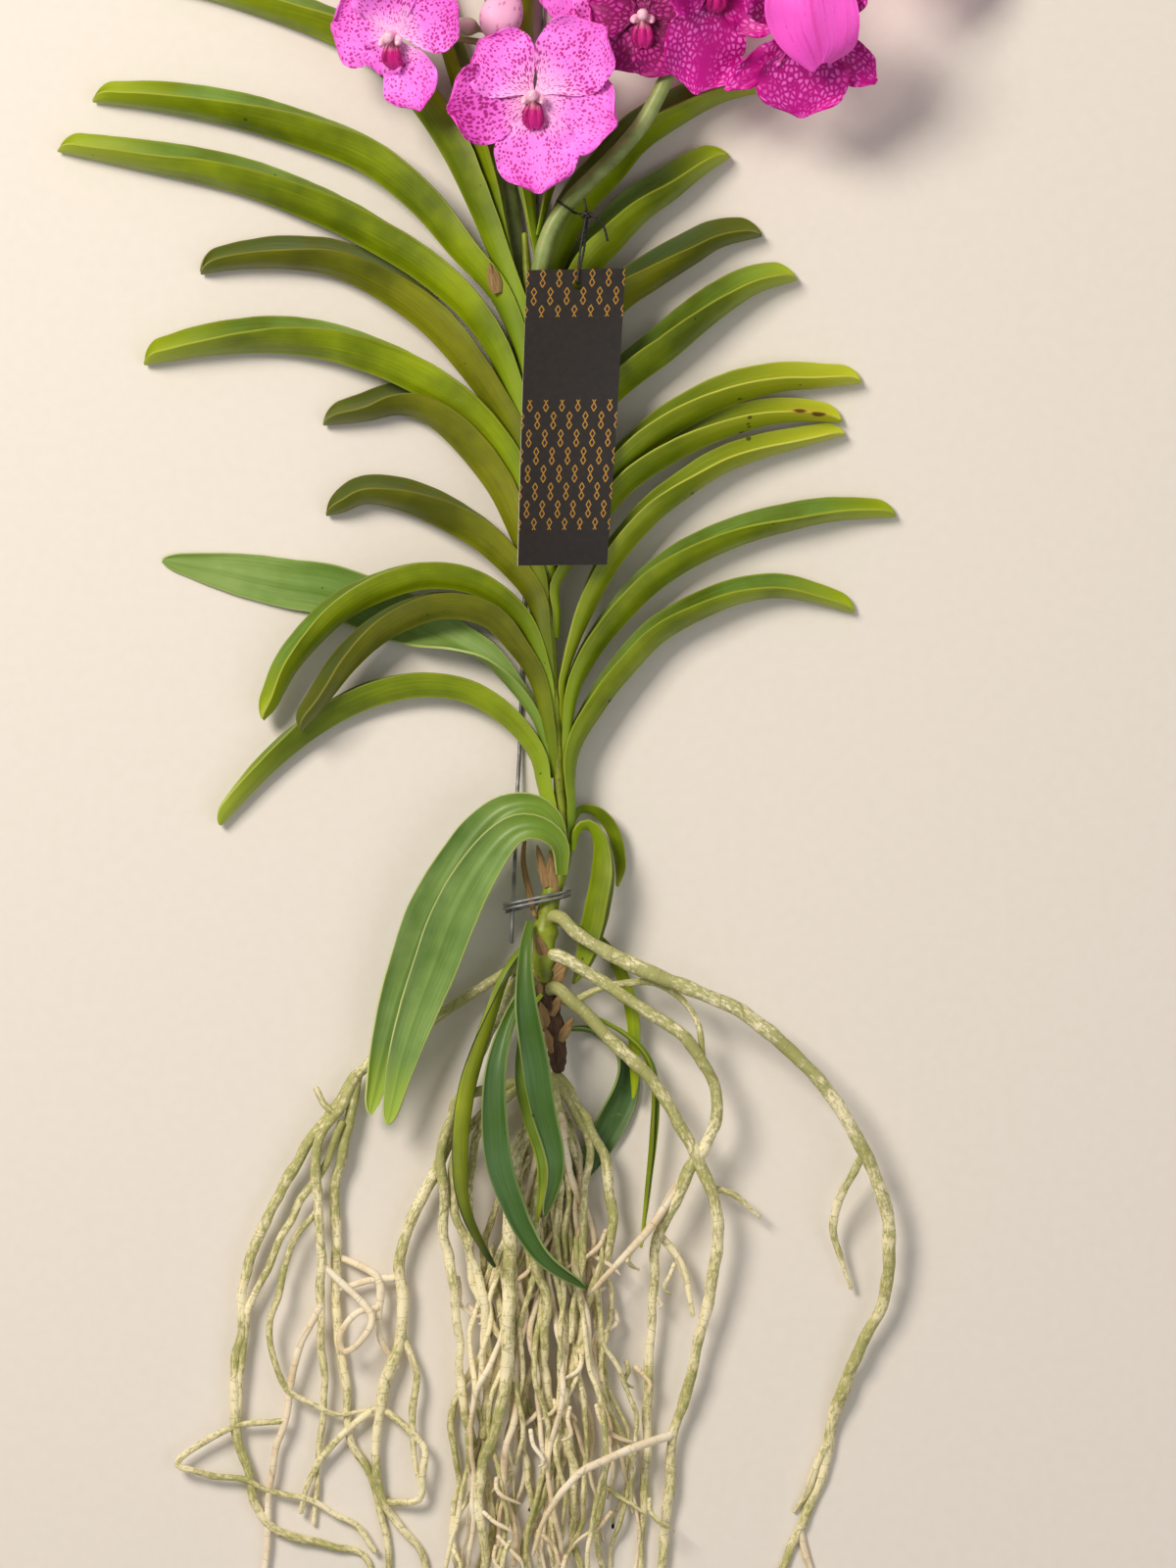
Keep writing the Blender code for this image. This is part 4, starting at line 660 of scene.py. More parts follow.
def close_up(piece: bpy.types.Object, reach: float = 0.002) -> None:
    """Join a piece's seam and poles and turn its faces outwards.

    Args:
        piece: The piece.
        reach: How far apart, in millimetres, the points to join may lie.
    """
    only(piece)
    bpy.ops.object.mode_set(mode="EDIT")
    bpy.ops.mesh.select_all(action="SELECT")
    bpy.ops.mesh.remove_doubles(threshold=reach * MM)
    bpy.ops.mesh.normals_make_consistent(inside=False)
    bpy.ops.object.mode_set(mode="OBJECT")


def join(name: str, pieces: Sequence[bpy.types.Object]) -> bpy.types.Object:
    """Join pieces into one object.

    Args:
        name: The joined piece's name.
        pieces: What is joined.

    Returns:
        The joined object.
    """
    bpy.ops.object.select_all(action="DESELECT")
    for piece in pieces:
        piece.select_set(True)
    bpy.context.view_layer.objects.active = pieces[0]
    if len(pieces) > 1:
        bpy.ops.object.join()
    joined = bpy.context.view_layer.objects.active
    joined.name = name
    return joined


def dress(piece: bpy.types.Object, finishes: Sequence[bpy.types.Material],
          index: int | None = None) -> bpy.types.Object:
    """Give a piece its finishes, which it keeps when it is joined with others.

    Args:
        piece: The piece.
        finishes: Its finishes, in order.
        index: The one that every face takes, if all take the same.

    Returns:
        The piece.
    """
    for finish in finishes:
        piece.data.materials.append(finish)
    if index is not None:
        for polygon in piece.data.polygons:
            polygon.material_index = index
    return piece


def settle(piece: bpy.types.Object, slot: str, *nodes: str, angle: float = 45.0) -> None:
    """Finish a piece: shade it, ride it on the plant and hide the plain solids it replaces.

    Args:
        piece: The piece.
        slot: A material slot name; not used.
        nodes: The plain solids it replaces.
        angle: Edges sharper than this many degrees stay sharp.
    """
    only(piece)
    bpy.ops.object.shade_smooth_by_angle(angle=math.radians(angle))
    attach(piece, BODY)
    if nodes:
        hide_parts(*nodes)
    LOG.info("%s: %d faces", piece.name, len(piece.data.polygons))


@dataclass(frozen=True)
class LeafFinish:
    """Living orchid leaf: thick waxy cuticle over green tissue with lengthwise veins."""

    name: str
    light: str
    dark: str
    inner: str
    tip: str
    margin: str = "#B4BE4A"
    base: str = "#8DB02A"
    specks: float = 0.5
    roughness: float = 0.4
    tip_start: float = 0.84
    rim: float = 0.5
    blotches: tuple[tuple[float, float], ...] = ()

    def face(self, inside: bool) -> bpy.types.Material:
        """Make the finish of the leaf's outer or inner face.

        Args:
            inside: Whether it is the upper face, inside the fold.

        Returns:
            The material.
        """
        # The wax gives the eye a soft broad gloss, and the veins a fine lengthwise streak.
        graph = Graph(self.name + ("_upper" if inside else "_under"))
        node = graph.node
        share = node("UVMap", uv_map="share")
        along = node("SeparateXYZ", share, out="Y")
        place = node("TexCoord", out="Object")

        # Cloudy patches some 40 mm across, and veins about 1 mm apart.
        cloud = node("TexNoise", place, 24.0, 3.0, 0.55)
        lengthwise = node("Mapping", node("UVMap", uv_map="millimetres"),
                          named={"Scale": (0.85, 0.02, 1.0)})
        vein = node("TexNoise", lengthwise, 1.0, 4.0, 0.7)
        colour = node("Mix", node("MapRange", cloud, 0.36, 0.66),
                      self.inner if inside else self.light, self.dark)
        colour = node("VectorMath", colour, node("MapRange", vein, 0.3, 0.7, 0.82, 1.16),
                      operation="SCALE")

        # The foot is a paler yellow-green, and the tip the youngest or most weathered.
        foot = node("MapRange", along, 0.02, 0.3, 0.75, 0.0)
        colour = node("Mix", foot, colour, self.base)
        wander = node("Math", cloud, 0.16, along, operation="MULTIPLY_ADD")
        tip = node("MapRange", wander, self.tip_start + 0.06, 1.06)
        colour = node("Mix", tip, colour, self.tip)

        # Distance from the fold, 0, to the margin, 1.
        centred = node("Math", node("SeparateXYZ", share, out="X"), 2.0, -1.0,
                       operation="MULTIPLY_ADD")
        outward = node("Math", centred, operation="ABSOLUTE")
        margin = node("MapRange", outward, 0.95, 1.0, 0.0, self.rim)
        colour = node("Mix", margin, colour, self.margin)
        # Painted shade: on the upper face the crease along the fold is darkened toward the dark
        # tone; on the under face the keel is tinted toward the margin colour.
        fold = node("MapRange", outward, 0.0, 0.09, 0.35, 0.0)
        colour = node("Mix", fold, colour, self.dark if inside else self.margin)

        # Dark specks of about 1 mm, and longer pale scratches.
        grit = node("TexVoronoi", place, 190.0, named={"Randomness": 1.0})
        few = node("TexNoise", place, 46.0, 1.0)
        limit = node("MapRange", few, 0.62, 0.8, 0.0, 0.42 * self.specks + 0.05)
        dot = node("Math", node("Math", grit, limit, operation="LESS_THAN"), 0.75,
                   operation="MULTIPLY")
        colour = node("Mix", dot, colour, "#2E2A10")
        scuff = node("Mapping", place, named={"Scale": (60.0, 150.0, 60.0),
                                              "Rotation": (0.3, 0.2, 0.9)})
        scratch = node("TexNoise", scuff, 1.0, 5.0, 0.75)
        colour = node("Mix", node("MapRange", scratch, 0.66, 0.8, 0.0, 0.4), colour, "#A9B77E")

        # Dead brown spots, 9 mm long and 3 mm wide, each with a yellow halo.
        for across, down in self.blotches:
            local = node("VectorMath", place, tuple(spot(across, down, 7.0)),
                         operation="SUBTRACT")
            flat = node("VectorMath", local, (220.0, 600.0, 60.0), operation="MULTIPLY")
            far = node("VectorMath", flat, operation="LENGTH")
            for tone, start, end in (("#C6B63C", 1.0, 1.9), ("#4A2C12", 0.75, 1.05)):
                colour = node("Mix", node("MapRange", far, start, end, 0.9, 0.0), colour, tone)

        wax = node("MapRange", cloud, 0.3, 0.7, self.roughness - 0.05, self.roughness + 0.08)
        relief = node("Bump", 0.35, 0.25 * MM, named={"Height": vein})
        return graph.finish(colour, wax, Normal=relief, IOR=WATERY, Specular_IOR_Level=0.4)


@dataclass(frozen=True)
class StemFinish:
    """Living green stalk: smooth waxy skin, with paler bands and a few brown scars."""

    name: str
    light: str
    dark: str
    scar: str

    def make(self) -> bpy.types.Material:
        """Make the material.

        Returns:
            The material.
        """
        # It gives the eye an even sheen, broken by small brown marks of about 5 mm.
        graph = Graph(self.name)
        node = graph.node
        place = node("TexCoord", out="Object")
        cloud = node("TexNoise", place, 60.0, 4.0, 0.6)
        spots = node("TexNoise", place, 210.0, 3.0)
        colour = node("Mix", node("MapRange", cloud, 0.35, 0.65), self.light, self.dark)
        colour = node("Mix", node("MapRange", spots, 0.64, 0.72, 0.0, 0.6), colour, self.scar)
        relief = node("Bump", 0.2, 0.2 * MM, named={"Height": spots})
        return graph.finish(colour, 0.42, Normal=relief, IOR=WATERY)


@dataclass(frozen=True)
class HuskFinish:
    """Dead leaf sheath and old stem: dry fibrous tissue, matt, split along its length."""

    name: str
    light: str
    dark: str

    def make(self) -> bpy.types.Material:
        """Make the material.

        Returns:
            The material.
        """
        # It gives the eye dull straw with fibres about half a millimetre apart.
        graph = Graph(self.name)
        node = graph.node
        lengthwise = node("Mapping", node("UVMap", uv_map="millimetres"),
                          named={"Scale": (1.6, 0.12, 1.0)})
        fibre = node("TexNoise", lengthwise, 1.0, 6.0, 0.7)
        colour = node("Mix", node("MapRange", fibre, 0.35, 0.65), self.light, self.dark)
        relief = node("Bump", 0.8, 0.5 * MM, named={"Height": fibre})
        return graph.finish(colour, 0.82, Normal=relief)


@dataclass(frozen=True)
class RootFinish:
    """Aerial root skin: dry spongy velamen, silvery cream, worn through to green in flecks."""

    name: str
    cream: str
    buff: str
    green: str
    dark: str
    greenness: float

    def make(self) -> bpy.types.Material:
        """Make the material.

        Returns:
            The material.
        """
        # The air in the dry skin gives the eye a matt, chalky cream.
        graph = Graph(self.name)
        node = graph.node
        place = node("TexCoord", out="Object")
        real = node("UVMap", uv_map="millimetres")
        cloud = node("TexNoise", place, 38.0, 3.0)
        colour = node("Mix", node("MapRange", cloud, 0.38, 0.62), self.cream, self.buff)

        # Flecks 3 mm long where the skin shows the green under it, thickest by the stem.
        stretch = node("Mapping", real, named={"Scale": (0.55, 0.24, 1.0)})
        fleck = node("TexNoise", stretch, 1.0, 6.0, 0.68)
        near = node("MapRange", node("SeparateXYZ", place, out="Y"), -0.3, -0.12,
                    self.greenness * 0.35, self.greenness)
        mottle = node("Math", cloud, 0.5, fleck, operation="MULTIPLY_ADD")
        lifted = node("Math", near, 0.22, mottle, operation="MULTIPLY_ADD")
        patch = node("Math", node("MapRange", lifted, 0.79, 0.91), 0.35 + 0.5 * self.greenness,
                     operation="MULTIPLY")
        colour = node("Mix", patch, colour, self.green)

        # Fine dark cracks round the root, some 9 mm apart and unevenly spaced.
        warp = node("Mapping", real, named={"Scale": (0.02, 0.11, 1.0)})
        ring = node("TexVoronoi", warp, 1.0, named={"Randomness": 0.9},
                    feature="DISTANCE_TO_EDGE")
        crack = node("MapRange", ring, 0.0, 0.025, 0.5, 0.0)
        colour = node("Mix", crack, colour, self.dark)
        relief = node("Bump", 0.6, 0.5 * MM, named={"Height": fleck})
        return graph.finish(colour, 0.78, Normal=relief)


class Pattern(Enum):
    """How a petal is marked."""

    SPOTS = "spots"
    NET = "net"
    VEINS = "veins"


@dataclass(frozen=True)
class PetalFinish:
    """Orchid petal: thin moist tissue whose raised cells scatter light like fine satin."""

    name: str
    ground: str
    heart: str
    mark: str
    edge: str
    pattern: Pattern
    pitch: float = 2.4
    cover: float = 0.4
    strength: float = 0.9

    def make(self) -> bpy.types.Material:
        """Make the material.

        Returns:
            The material.
        """
        # The light that passes through gives the eye a glow, with hardly a highlight.
        graph = Graph(self.name)
        node = graph.node
        along = node("SeparateXYZ", node("UVMap", uv_map="share"), out="Y")
        real = node("UVMap", uv_map="millimetres")
        place = node("TexCoord", out="Object")
        cloud = node("TexNoise", place, 70.0, 3.0)
        colour = node("Mix", node("MapRange", along, 0.02, 0.42, 1.0, 0.0),
                      self.ground, self.heart)
        rim = node("Math", node("MapRange", along, 0.55, 1.0, 0.0, 0.7), cloud,
                   operation="MULTIPLY")
        colour = node("Mix", node("Math", rim, 1.6, operation="MULTIPLY"), colour, self.edge)

        # Marks one pitch apart, drawn out along the petal's veins.
        jitter = node("TexNoise", place, 420.0, 2.0, out="Color")
        moved = node("VectorMath", real, jitter)
        drawn = node("Mapping", moved,
                     named={"Scale": (1 / self.pitch, 0.72 / self.pitch, 1.0)})
        if self.pattern is Pattern.SPOTS:
            cells = node("TexVoronoi", drawn, 1.0, named={"Randomness": 0.85})
            limit = node("MapRange", cloud, 0.3, 0.7, self.cover * 0.65, self.cover * 1.25)
            soft = node("Math", limit, cells, operation="SUBTRACT")
            marks = node("MapRange", soft, -0.05, 0.07, 0.0, self.strength)
        elif self.pattern is Pattern.NET:
            cells = node("TexVoronoi", drawn, 1.0, named={"Randomness": 0.8},
                         feature="DISTANCE_TO_EDGE")
            marks = node("MapRange", cells, 0.12, 0.12 + self.cover, 0.0, self.strength)
            marks = node("Math", marks, node("MapRange", cloud, 0.34, 0.5),
                         operation="MULTIPLY")
        else:
            lines = node("Mapping", moved, named={"Scale": (1 / self.pitch, 0.03, 1.0)})
            marks = node("MapRange", node("TexNoise", lines, 1.0, 3.0), 0.52, 0.64, 0.0,
                         self.strength)
        colour = node("Mix", marks, colour, self.mark)
        ribs = node("Mapping", real, named={"Scale": (0.42, 0.03, 1.0)})
        relief = node("Bump", 0.5, 0.6 * MM, named={"Height": node("TexNoise", ribs, 1.0, 3.0)})
        return graph.finish(colour, 0.5, Normal=relief, Specular_IOR_Level=0.26,
                            Sheen_Weight=0.02, Subsurface_Weight=0.12,
                            Subsurface_Radius=(1.0, 0.3, 0.7), Subsurface_Scale=1.2 * MM)


@dataclass(frozen=True)
class WireFinish:
    """Galvanised steel wire: a drawn round wire with a dull crystalline zinc skin."""

    name: str = "galvanised_steel_wire"
    light: str = "#A4A6A6"
    dark: str = "#6C6E70"

    def make(self) -> bpy.types.Material:
        """Make the material.

        Returns:
            The material.
        """
        # The zinc's crystals give the eye patches of duller and brighter grey.
        graph = Graph(self.name)
        node = graph.node
        zinc = node("TexNoise", node("TexCoord", out="Object"), 140.0, 4.0)
        colour = node("Mix", node("MapRange", zinc, 0.35, 0.65), self.light, self.dark)
        dull = node("MapRange", zinc, 0.0, 1.0, 0.4, 0.6)
        return graph.finish(colour, dull, Metallic=0.8)


@dataclass(frozen=True)
class CardFinish:
    """Printed card: coated charcoal board with small gold foil lozenges in staggered rows."""

    name: str = "coated_card"
    board: str = "#1B1512"
    foil: str = "#D9A24A"
    pitch: float = 8.4
    row: float = 9.0

    def make(self) -> bpy.types.Material:
        """Make the material.

        Returns:
            The material.
        """
        # The coating gives the eye a soft dark sheen, and the foil a warm metal glint.
        graph = Graph(self.name)
        node = graph.node
        real = node("UVMap", uv_map="millimetres")
        flat = node("SeparateXYZ", real, out="Y")
        part = node("SeparateXYZ", node("UVMap", uv_map="share"), out="Y")

        # Every second row is shifted by half a pitch.
        number = node("Math", node("Math", flat, self.row, operation="DIVIDE"),
                      operation="FLOOR")
        odd = node("Math", number, 2.0, operation="FLOORED_MODULO")
        slide = node("Math", odd, self.pitch / 2, node("SeparateXYZ", real, out="X"),
                     operation="MULTIPLY_ADD")
        across = node("Math", slide, self.pitch / 2, operation="PINGPONG")
        down = node("Math", flat, self.row / 2, operation="PINGPONG")
        down = node("Math", down, self.row / 4, operation="SUBTRACT")
        down = node("Math", down, operation="ABSOLUTE")
        reach = node("Math", down, 0.6, across, operation="MULTIPLY_ADD")
        lozenge = node("Math", node("Math", reach, 1.6, operation="LESS_THAN"),
                       node("Math", reach, 0.95, operation="GREATER_THAN"),
                       operation="MULTIPLY")

        # The band in the card's middle and its foot stay plain.
        band = node("Math", node("Math", part, -0.3, operation="ADD"), operation="ABSOLUTE")
        shown = node("Math", lozenge, node("Math", band, 0.14, operation="GREATER_THAN"),
                     operation="MULTIPLY")
        shown = node("Math", shown, node("Math", part, 0.88, operation="LESS_THAN"),
                     operation="MULTIPLY")
        scuff = node("TexNoise", node("TexCoord", out="Object"), 320.0, 4.0)
        colour = node("Mix", node("MapRange", scuff, 0.3, 0.8, 0.0, 0.2), self.board,
                      "#4A3B30")
        colour = node("Mix", shown, colour, self.foil)
        return graph.finish(colour, 0.42, Metallic=shown)


@dataclass(frozen=True)
class PlainFinish:
    """A small plain surface with a fine grain: card edge, waxed string, waxy column."""

    name: str
    light: str
    dark: str
    grain: float
    roughness: float
    depth: float = 0.2

    def make(self) -> bpy.types.Material:
        """Make the material.

        Returns:
            The material.
        """
        # The grain, in millimetres, gives the eye a surface that isn't quite flat.
        graph = Graph(self.name)
        node = graph.node
        speckle = node("TexNoise", node("TexCoord", out="Object"), 1000.0 / self.grain, 3.0)
        colour = node("Mix", node("MapRange", speckle, 0.35, 0.65), self.light, self.dark)
        relief = node("Bump", 0.4, self.depth * MM, named={"Height": speckle})
        return graph.finish(colour, self.roughness, Normal=relief)


# How far a sheath's near half turns over the stem, in degrees: those on the left reach round
# the front, over those on the right.
SHEATH_WRAP = {Side.LEFT: -15.0, Side.RIGHT: 5.0}


@dataclass(frozen=True)
class Blade:
    """How a leaf is folded and how wide it is from its base to its tip.

    Width is the share of the widest half. Fold is each half's angle to the fold's middle and
    roll is how far the near half turns outward, both in degrees.
    """

    wide: float
    fold: Sequence[float]
    roll: Sequence[float]
    width: Sequence[float]


@dataclass
class Leaf:
    """One strap leaf: two halves that open from a fold, with a sheath if it clasps the stem."""

    name: str
    side: Side
    route: Route
    blade: Blade
    finish: LeafFinish
    sheath: bool = False
    columns: int = 16
    rows: int = 72
    row_ease: float = 1.35
    keel_points: int = 160
    thickness: float = 1.2
    sheath_length: float = 30.0
    sheath_taper: float = 0.28
    sheath_open: float = 14.0
    hug_fade: float = 0.16
    hug_narrow: float = 0.12
    tip_length: float = 9.0
    wave_height: float = 1.3
    wave_length: float = 34.0
    nick_length: float = 9.0
    keel: list[Vector] = field(default_factory=list)
    total: float = 0.0

    def lay(self) -> None:
        """Work out the line of the fold."""
        rough = [spot(*point) for point in self.route]
        self.total = length_of(smooth(rough, 60)) / MM
        self.keel = smooth(rough, self.keel_points)

    def section(self, part: float) -> tuple[float, float, float]:
        """Give the half width in millimetres and both halves' angles at a place.

        Args:
            part: How far along the whole leaf, from 0 to 1.

        Returns:
            The half width, and the near and the far half's angle in radians.
        """
        start = self.sheath_length / self.total if self.sheath else 0.0
        share = (part - start) / (1 - start)
        clasp = max(0.0, -share * (1 - start) / start) if start else 0.0
        share = max(0.0, share)
        half = swell(self.blade.width, share) * self.blade.wide * (1 - self.sheath_taper * clasp)
        left = (1 - part) * self.total / self.tip_length
        if left < 1.0:
            half *= math.sqrt(max(0.02, 1 - (1 - left) ** 2))
        fold = swell(self.blade.fold, share)
        roll = swell(self.blade.roll, share)
        hug = self.hug(part)
        near = math.radians(fold + roll + SHEATH_WRAP[self.side] * hug)
        far = math.radians(fold - roll + self.sheath_open * clasp)
        if self.side is Side.RIGHT:
            half *= 1 - self.hug_narrow * hug
        return half, near, far

    def hug(self, part: float) -> float:
        """Say how closely the leaf clasps the stem at a place.

        Args:
            part: How far along the whole leaf, from 0 to 1.

        Returns:
            From 0, free of it, to 1, close round it.
        """
        if not self.sheath:
            return 0.0
        start = self.sheath_length / self.total
        return min(1.0, max(0.0, 1 - (part - start) / self.hug_fade))

    def point(self, across: float, along: float) -> Vector:
        """Give a point of the blade's middle sheet.

        Args:
            across: From one margin, -1, to the other, 1.
            along: From the base, 0, to the tip, 1.

        Returns:
            The point.
        """
        # The outer face is the grid's front whichever way the leaf points.
        across *= -self.side.value
        half, near, far = self.section(along)
        place = along * (len(self.keel) - 1)
        at = min(int(place), len(self.keel) - 2)
        middle = self.keel[at].lerp(self.keel[at + 1], place - at)
        before, after = self.keel[max(at - 3, 0)], self.keel[min(at + 4, len(self.keel) - 1)]
        ahead = after - before
        upper = Vector((-ahead.y, ahead.x, 0)).normalized() * self.side.value
        front = Vector((0, 0, 1 if across > 0 else -1))
        angle = near if across > 0 else far
        out = upper * math.cos(angle) + front * math.sin(angle)
        outer = front * math.cos(angle) - upper * math.sin(angle)
        reach = abs(across)
        belly = (0.09 + 0.17 * self.hug(along)) * half * math.sin(math.pi * reach)
        belly -= 0.05 * half * max(0.0, 1 - reach / 0.2)
        seed = Vector((along * self.total / self.wave_length, across * 1.7, self.total))
        wave = noise.noise(seed) * self.wave_height * reach**2 * min(1.0, 5 * along)
        nick = Vector((along * self.total / self.nick_length, front.z, self.total))
        edge = 1 + 0.02 * noise.noise(nick)
        return middle + (out * half * reach * edge + outer * (belly + wave)) * MM

    def build(self) -> None:
        """Build and dress the leaf."""
        self.lay()
        piece = grid_sheet(f"{self.name}_blade", self.columns, self.rows, self.point,
                           (2 * self.blade.wide, self.total), self.row_ease)
        dress(piece, LEAF_FACES[self.finish.name])
        thicken(piece, self.thickness)
        settle(piece, "leaf_green", self.name, angle=60)


GREEN = LeafFinish("leaf_green", light="#8CA008", dark="#5E7002", inner="#7C9C3E",
                   tip="#A2B41C", margin="#A3AC3E")
OLIVE = LeafFinish("leaf_olive", light="#7E8312", dark="#575E08", inner="#50683A",
                   tip="#66701E", margin="#7E7A2C", base="#6F8A10", specks=0.9)
BLUE = LeafFinish("leaf_blue_green", light="#8AA456", dark="#4F7526", inner="#7F9E54",
                  tip="#A3BE42", margin="#C2CC84", base="#86A32A", roughness=0.36, rim=0.85)
PALE = LeafFinish("leaf_pale", light="#98B05A", dark="#6C8F38", inner="#8DA85C",
                  tip="#7C9A48", margin="#B8C47A", base="#6F8E2A")
YELLOW = LeafFinish("leaf_yellowing", light="#9AA81C", dark="#74880A", inner="#82982A",
                    tip="#C0C82C", margin="#D0D264", base="#8DA612", specks=0.8,
                    tip_start=0.62, blotches=((817, 418), (836, 421)))
FRESH = LeafFinish("leaf_fresh", light="#8A9E16", dark="#64780C", inner="#7C9C3E",
                   tip="#A9BC3A", margin="#A8AE40", base="#B2D41E")
DEEP = LeafFinish("leaf_deep_green", light="#64883E", dark="#416424", inner="#4E7040",
                  tip="#3C5420", margin="#8A9C5C", base="#5E7C24", roughness=0.36, rim=0.8)
EDGED = LeafFinish("leaf_dark_edged", light="#A2AE24", dark="#809218", inner="#A3AC1A",
                   tip="#2C3A10", margin="#2F3C10", base="#6E8C14", rim=1.0, tip_start=0.6)
# Finer widths than the plain solids': a blunt round tip, or a long taper.
BLUNT_WIDTH = (0.55, 0.77, 0.94, 1.0, 0.98, 0.84, 0.54)
SLIM_WIDTH = (0.24, 0.52, 0.84, 0.96, 0.86, 0.62, 0.26)
FINISHES = {
    "leaf_left_06": OLIVE, "leaf_left_07": OLIVE, "leaf_left_08": PALE,
    "leaf_left_10": OLIVE, "leaf_left_04": OLIVE, "leaf_left_11": FRESH,
    "leaf_right_10": FRESH, "leaf_low_04": FRESH,
    "leaf_left_12": BLUE, "leaf_left_13": BLUE, "leaf_low_02": DEEP, "leaf_low_03": DEEP,
    "leaf_right_05": YELLOW, "leaf_right_06": YELLOW, "leaf_right_07": YELLOW,
    "leaf_low_01": EDGED, "leaf_right_03": OLIVE, "leaf_right_14": DEEP,
}
LEAF_FACES: dict[str, tuple[bpy.types.Material, bpy.types.Material]] = {}


@dataclass
class Foliage:
    """All the leaves: two ranks that clasp the stem, and those with a narrow foot."""

    sheath_steps: float = 56.0
    reaches: tuple[float, float, float] = (9.0, 12.0, 14.4)
    slim_fold: float = 39.0
    tuck: tuple[float, float] = (1.0, 2.5)
    sheath_drop: float = 1.5

    def strap_route(self, side: Side, seat: float, keel: Sequence[tuple[float, float]],
                    heights: Sequence[float]) -> Route:
        """Lead a strap leaf's fold from its sheath up to its tip.

        Args:
            side: The leaf's rank.
            seat: Where it leaves the stem, down the grid.
            keel: The fold's line from there.
            heights: Its heights, from the seat to the tip.

        Returns:
            The route, with heights.
        """
        low_reach, middle_reach, seat_reach = self.reaches
        places = [(stem_middle(seat) + side.value * seat_reach, seat), *keel]
        route = [(*there, blend(heights, index / (len(places) - 1)))
                 for index, there in enumerate(places)]
        below = seat + self.sheath_steps
        # Right-hand sheaths are tucked a little behind the left-hand ones.
        low = heights[0] - self.tuck[side is Side.RIGHT]
        half_way = (below + seat) / 2
        return [(stem_middle(below) + side.value * low_reach, below, low - self.sheath_drop),
                (stem_middle(half_way) + side.value * middle_reach, half_way, low), *route]

    def build(self) -> None:
        """Build every leaf."""
        for finish in (GREEN, OLIVE, BLUE, PALE, YELLOW, FRESH, DEEP, EDGED):
            LEAF_FACES[finish.name] = (finish.face(False), finish.face(True))
        for side, rank in ((Side.LEFT, LEFT_LEAVES), (Side.RIGHT, RIGHT_LEAVES)):
            for name, (seat, keel, wide, shape) in rank.items():
                common = LEFT_ROLL if side is Side.LEFT else RIGHT_ROLL
                blade = Blade(wide, STRAP_FOLD, shape.get("roll", common), BLUNT_WIDTH)
                route = self.strap_route(side, seat, keel, shape.get("heights", STRAP_HEIGHT))
                Leaf(name, side, route, blade, FINISHES.get(name, GREEN), True).build()
        for name, (way, route, wide, fold, roll) in FREE_LEAVES.items():
            outline = SLIM_WIDTH if min(fold) > self.slim_fold else FOOT_WIDTH
            blade = Blade(wide, fold, roll, outline)
            Leaf(name, Side(way), route, blade, FINISHES.get(name, GREEN)).build()


def stem_middle(down: float) -> float:
    """Find the stem's middle line at a place down the grid.

    Args:
        down: The place.

    Returns:
        How far across it is.
    """
    for (x_low, y_low), (x_high, y_high) in zip(STEM_LINE, STEM_LINE[1:]):
        if y_high <= down <= y_low:
            return x_low + (x_high - x_low) * (y_low - down) / (y_low - y_high)
    return STEM_LINE[-1][0] if down < STEM_LINE[-1][1] else STEM_LINE[0][0]


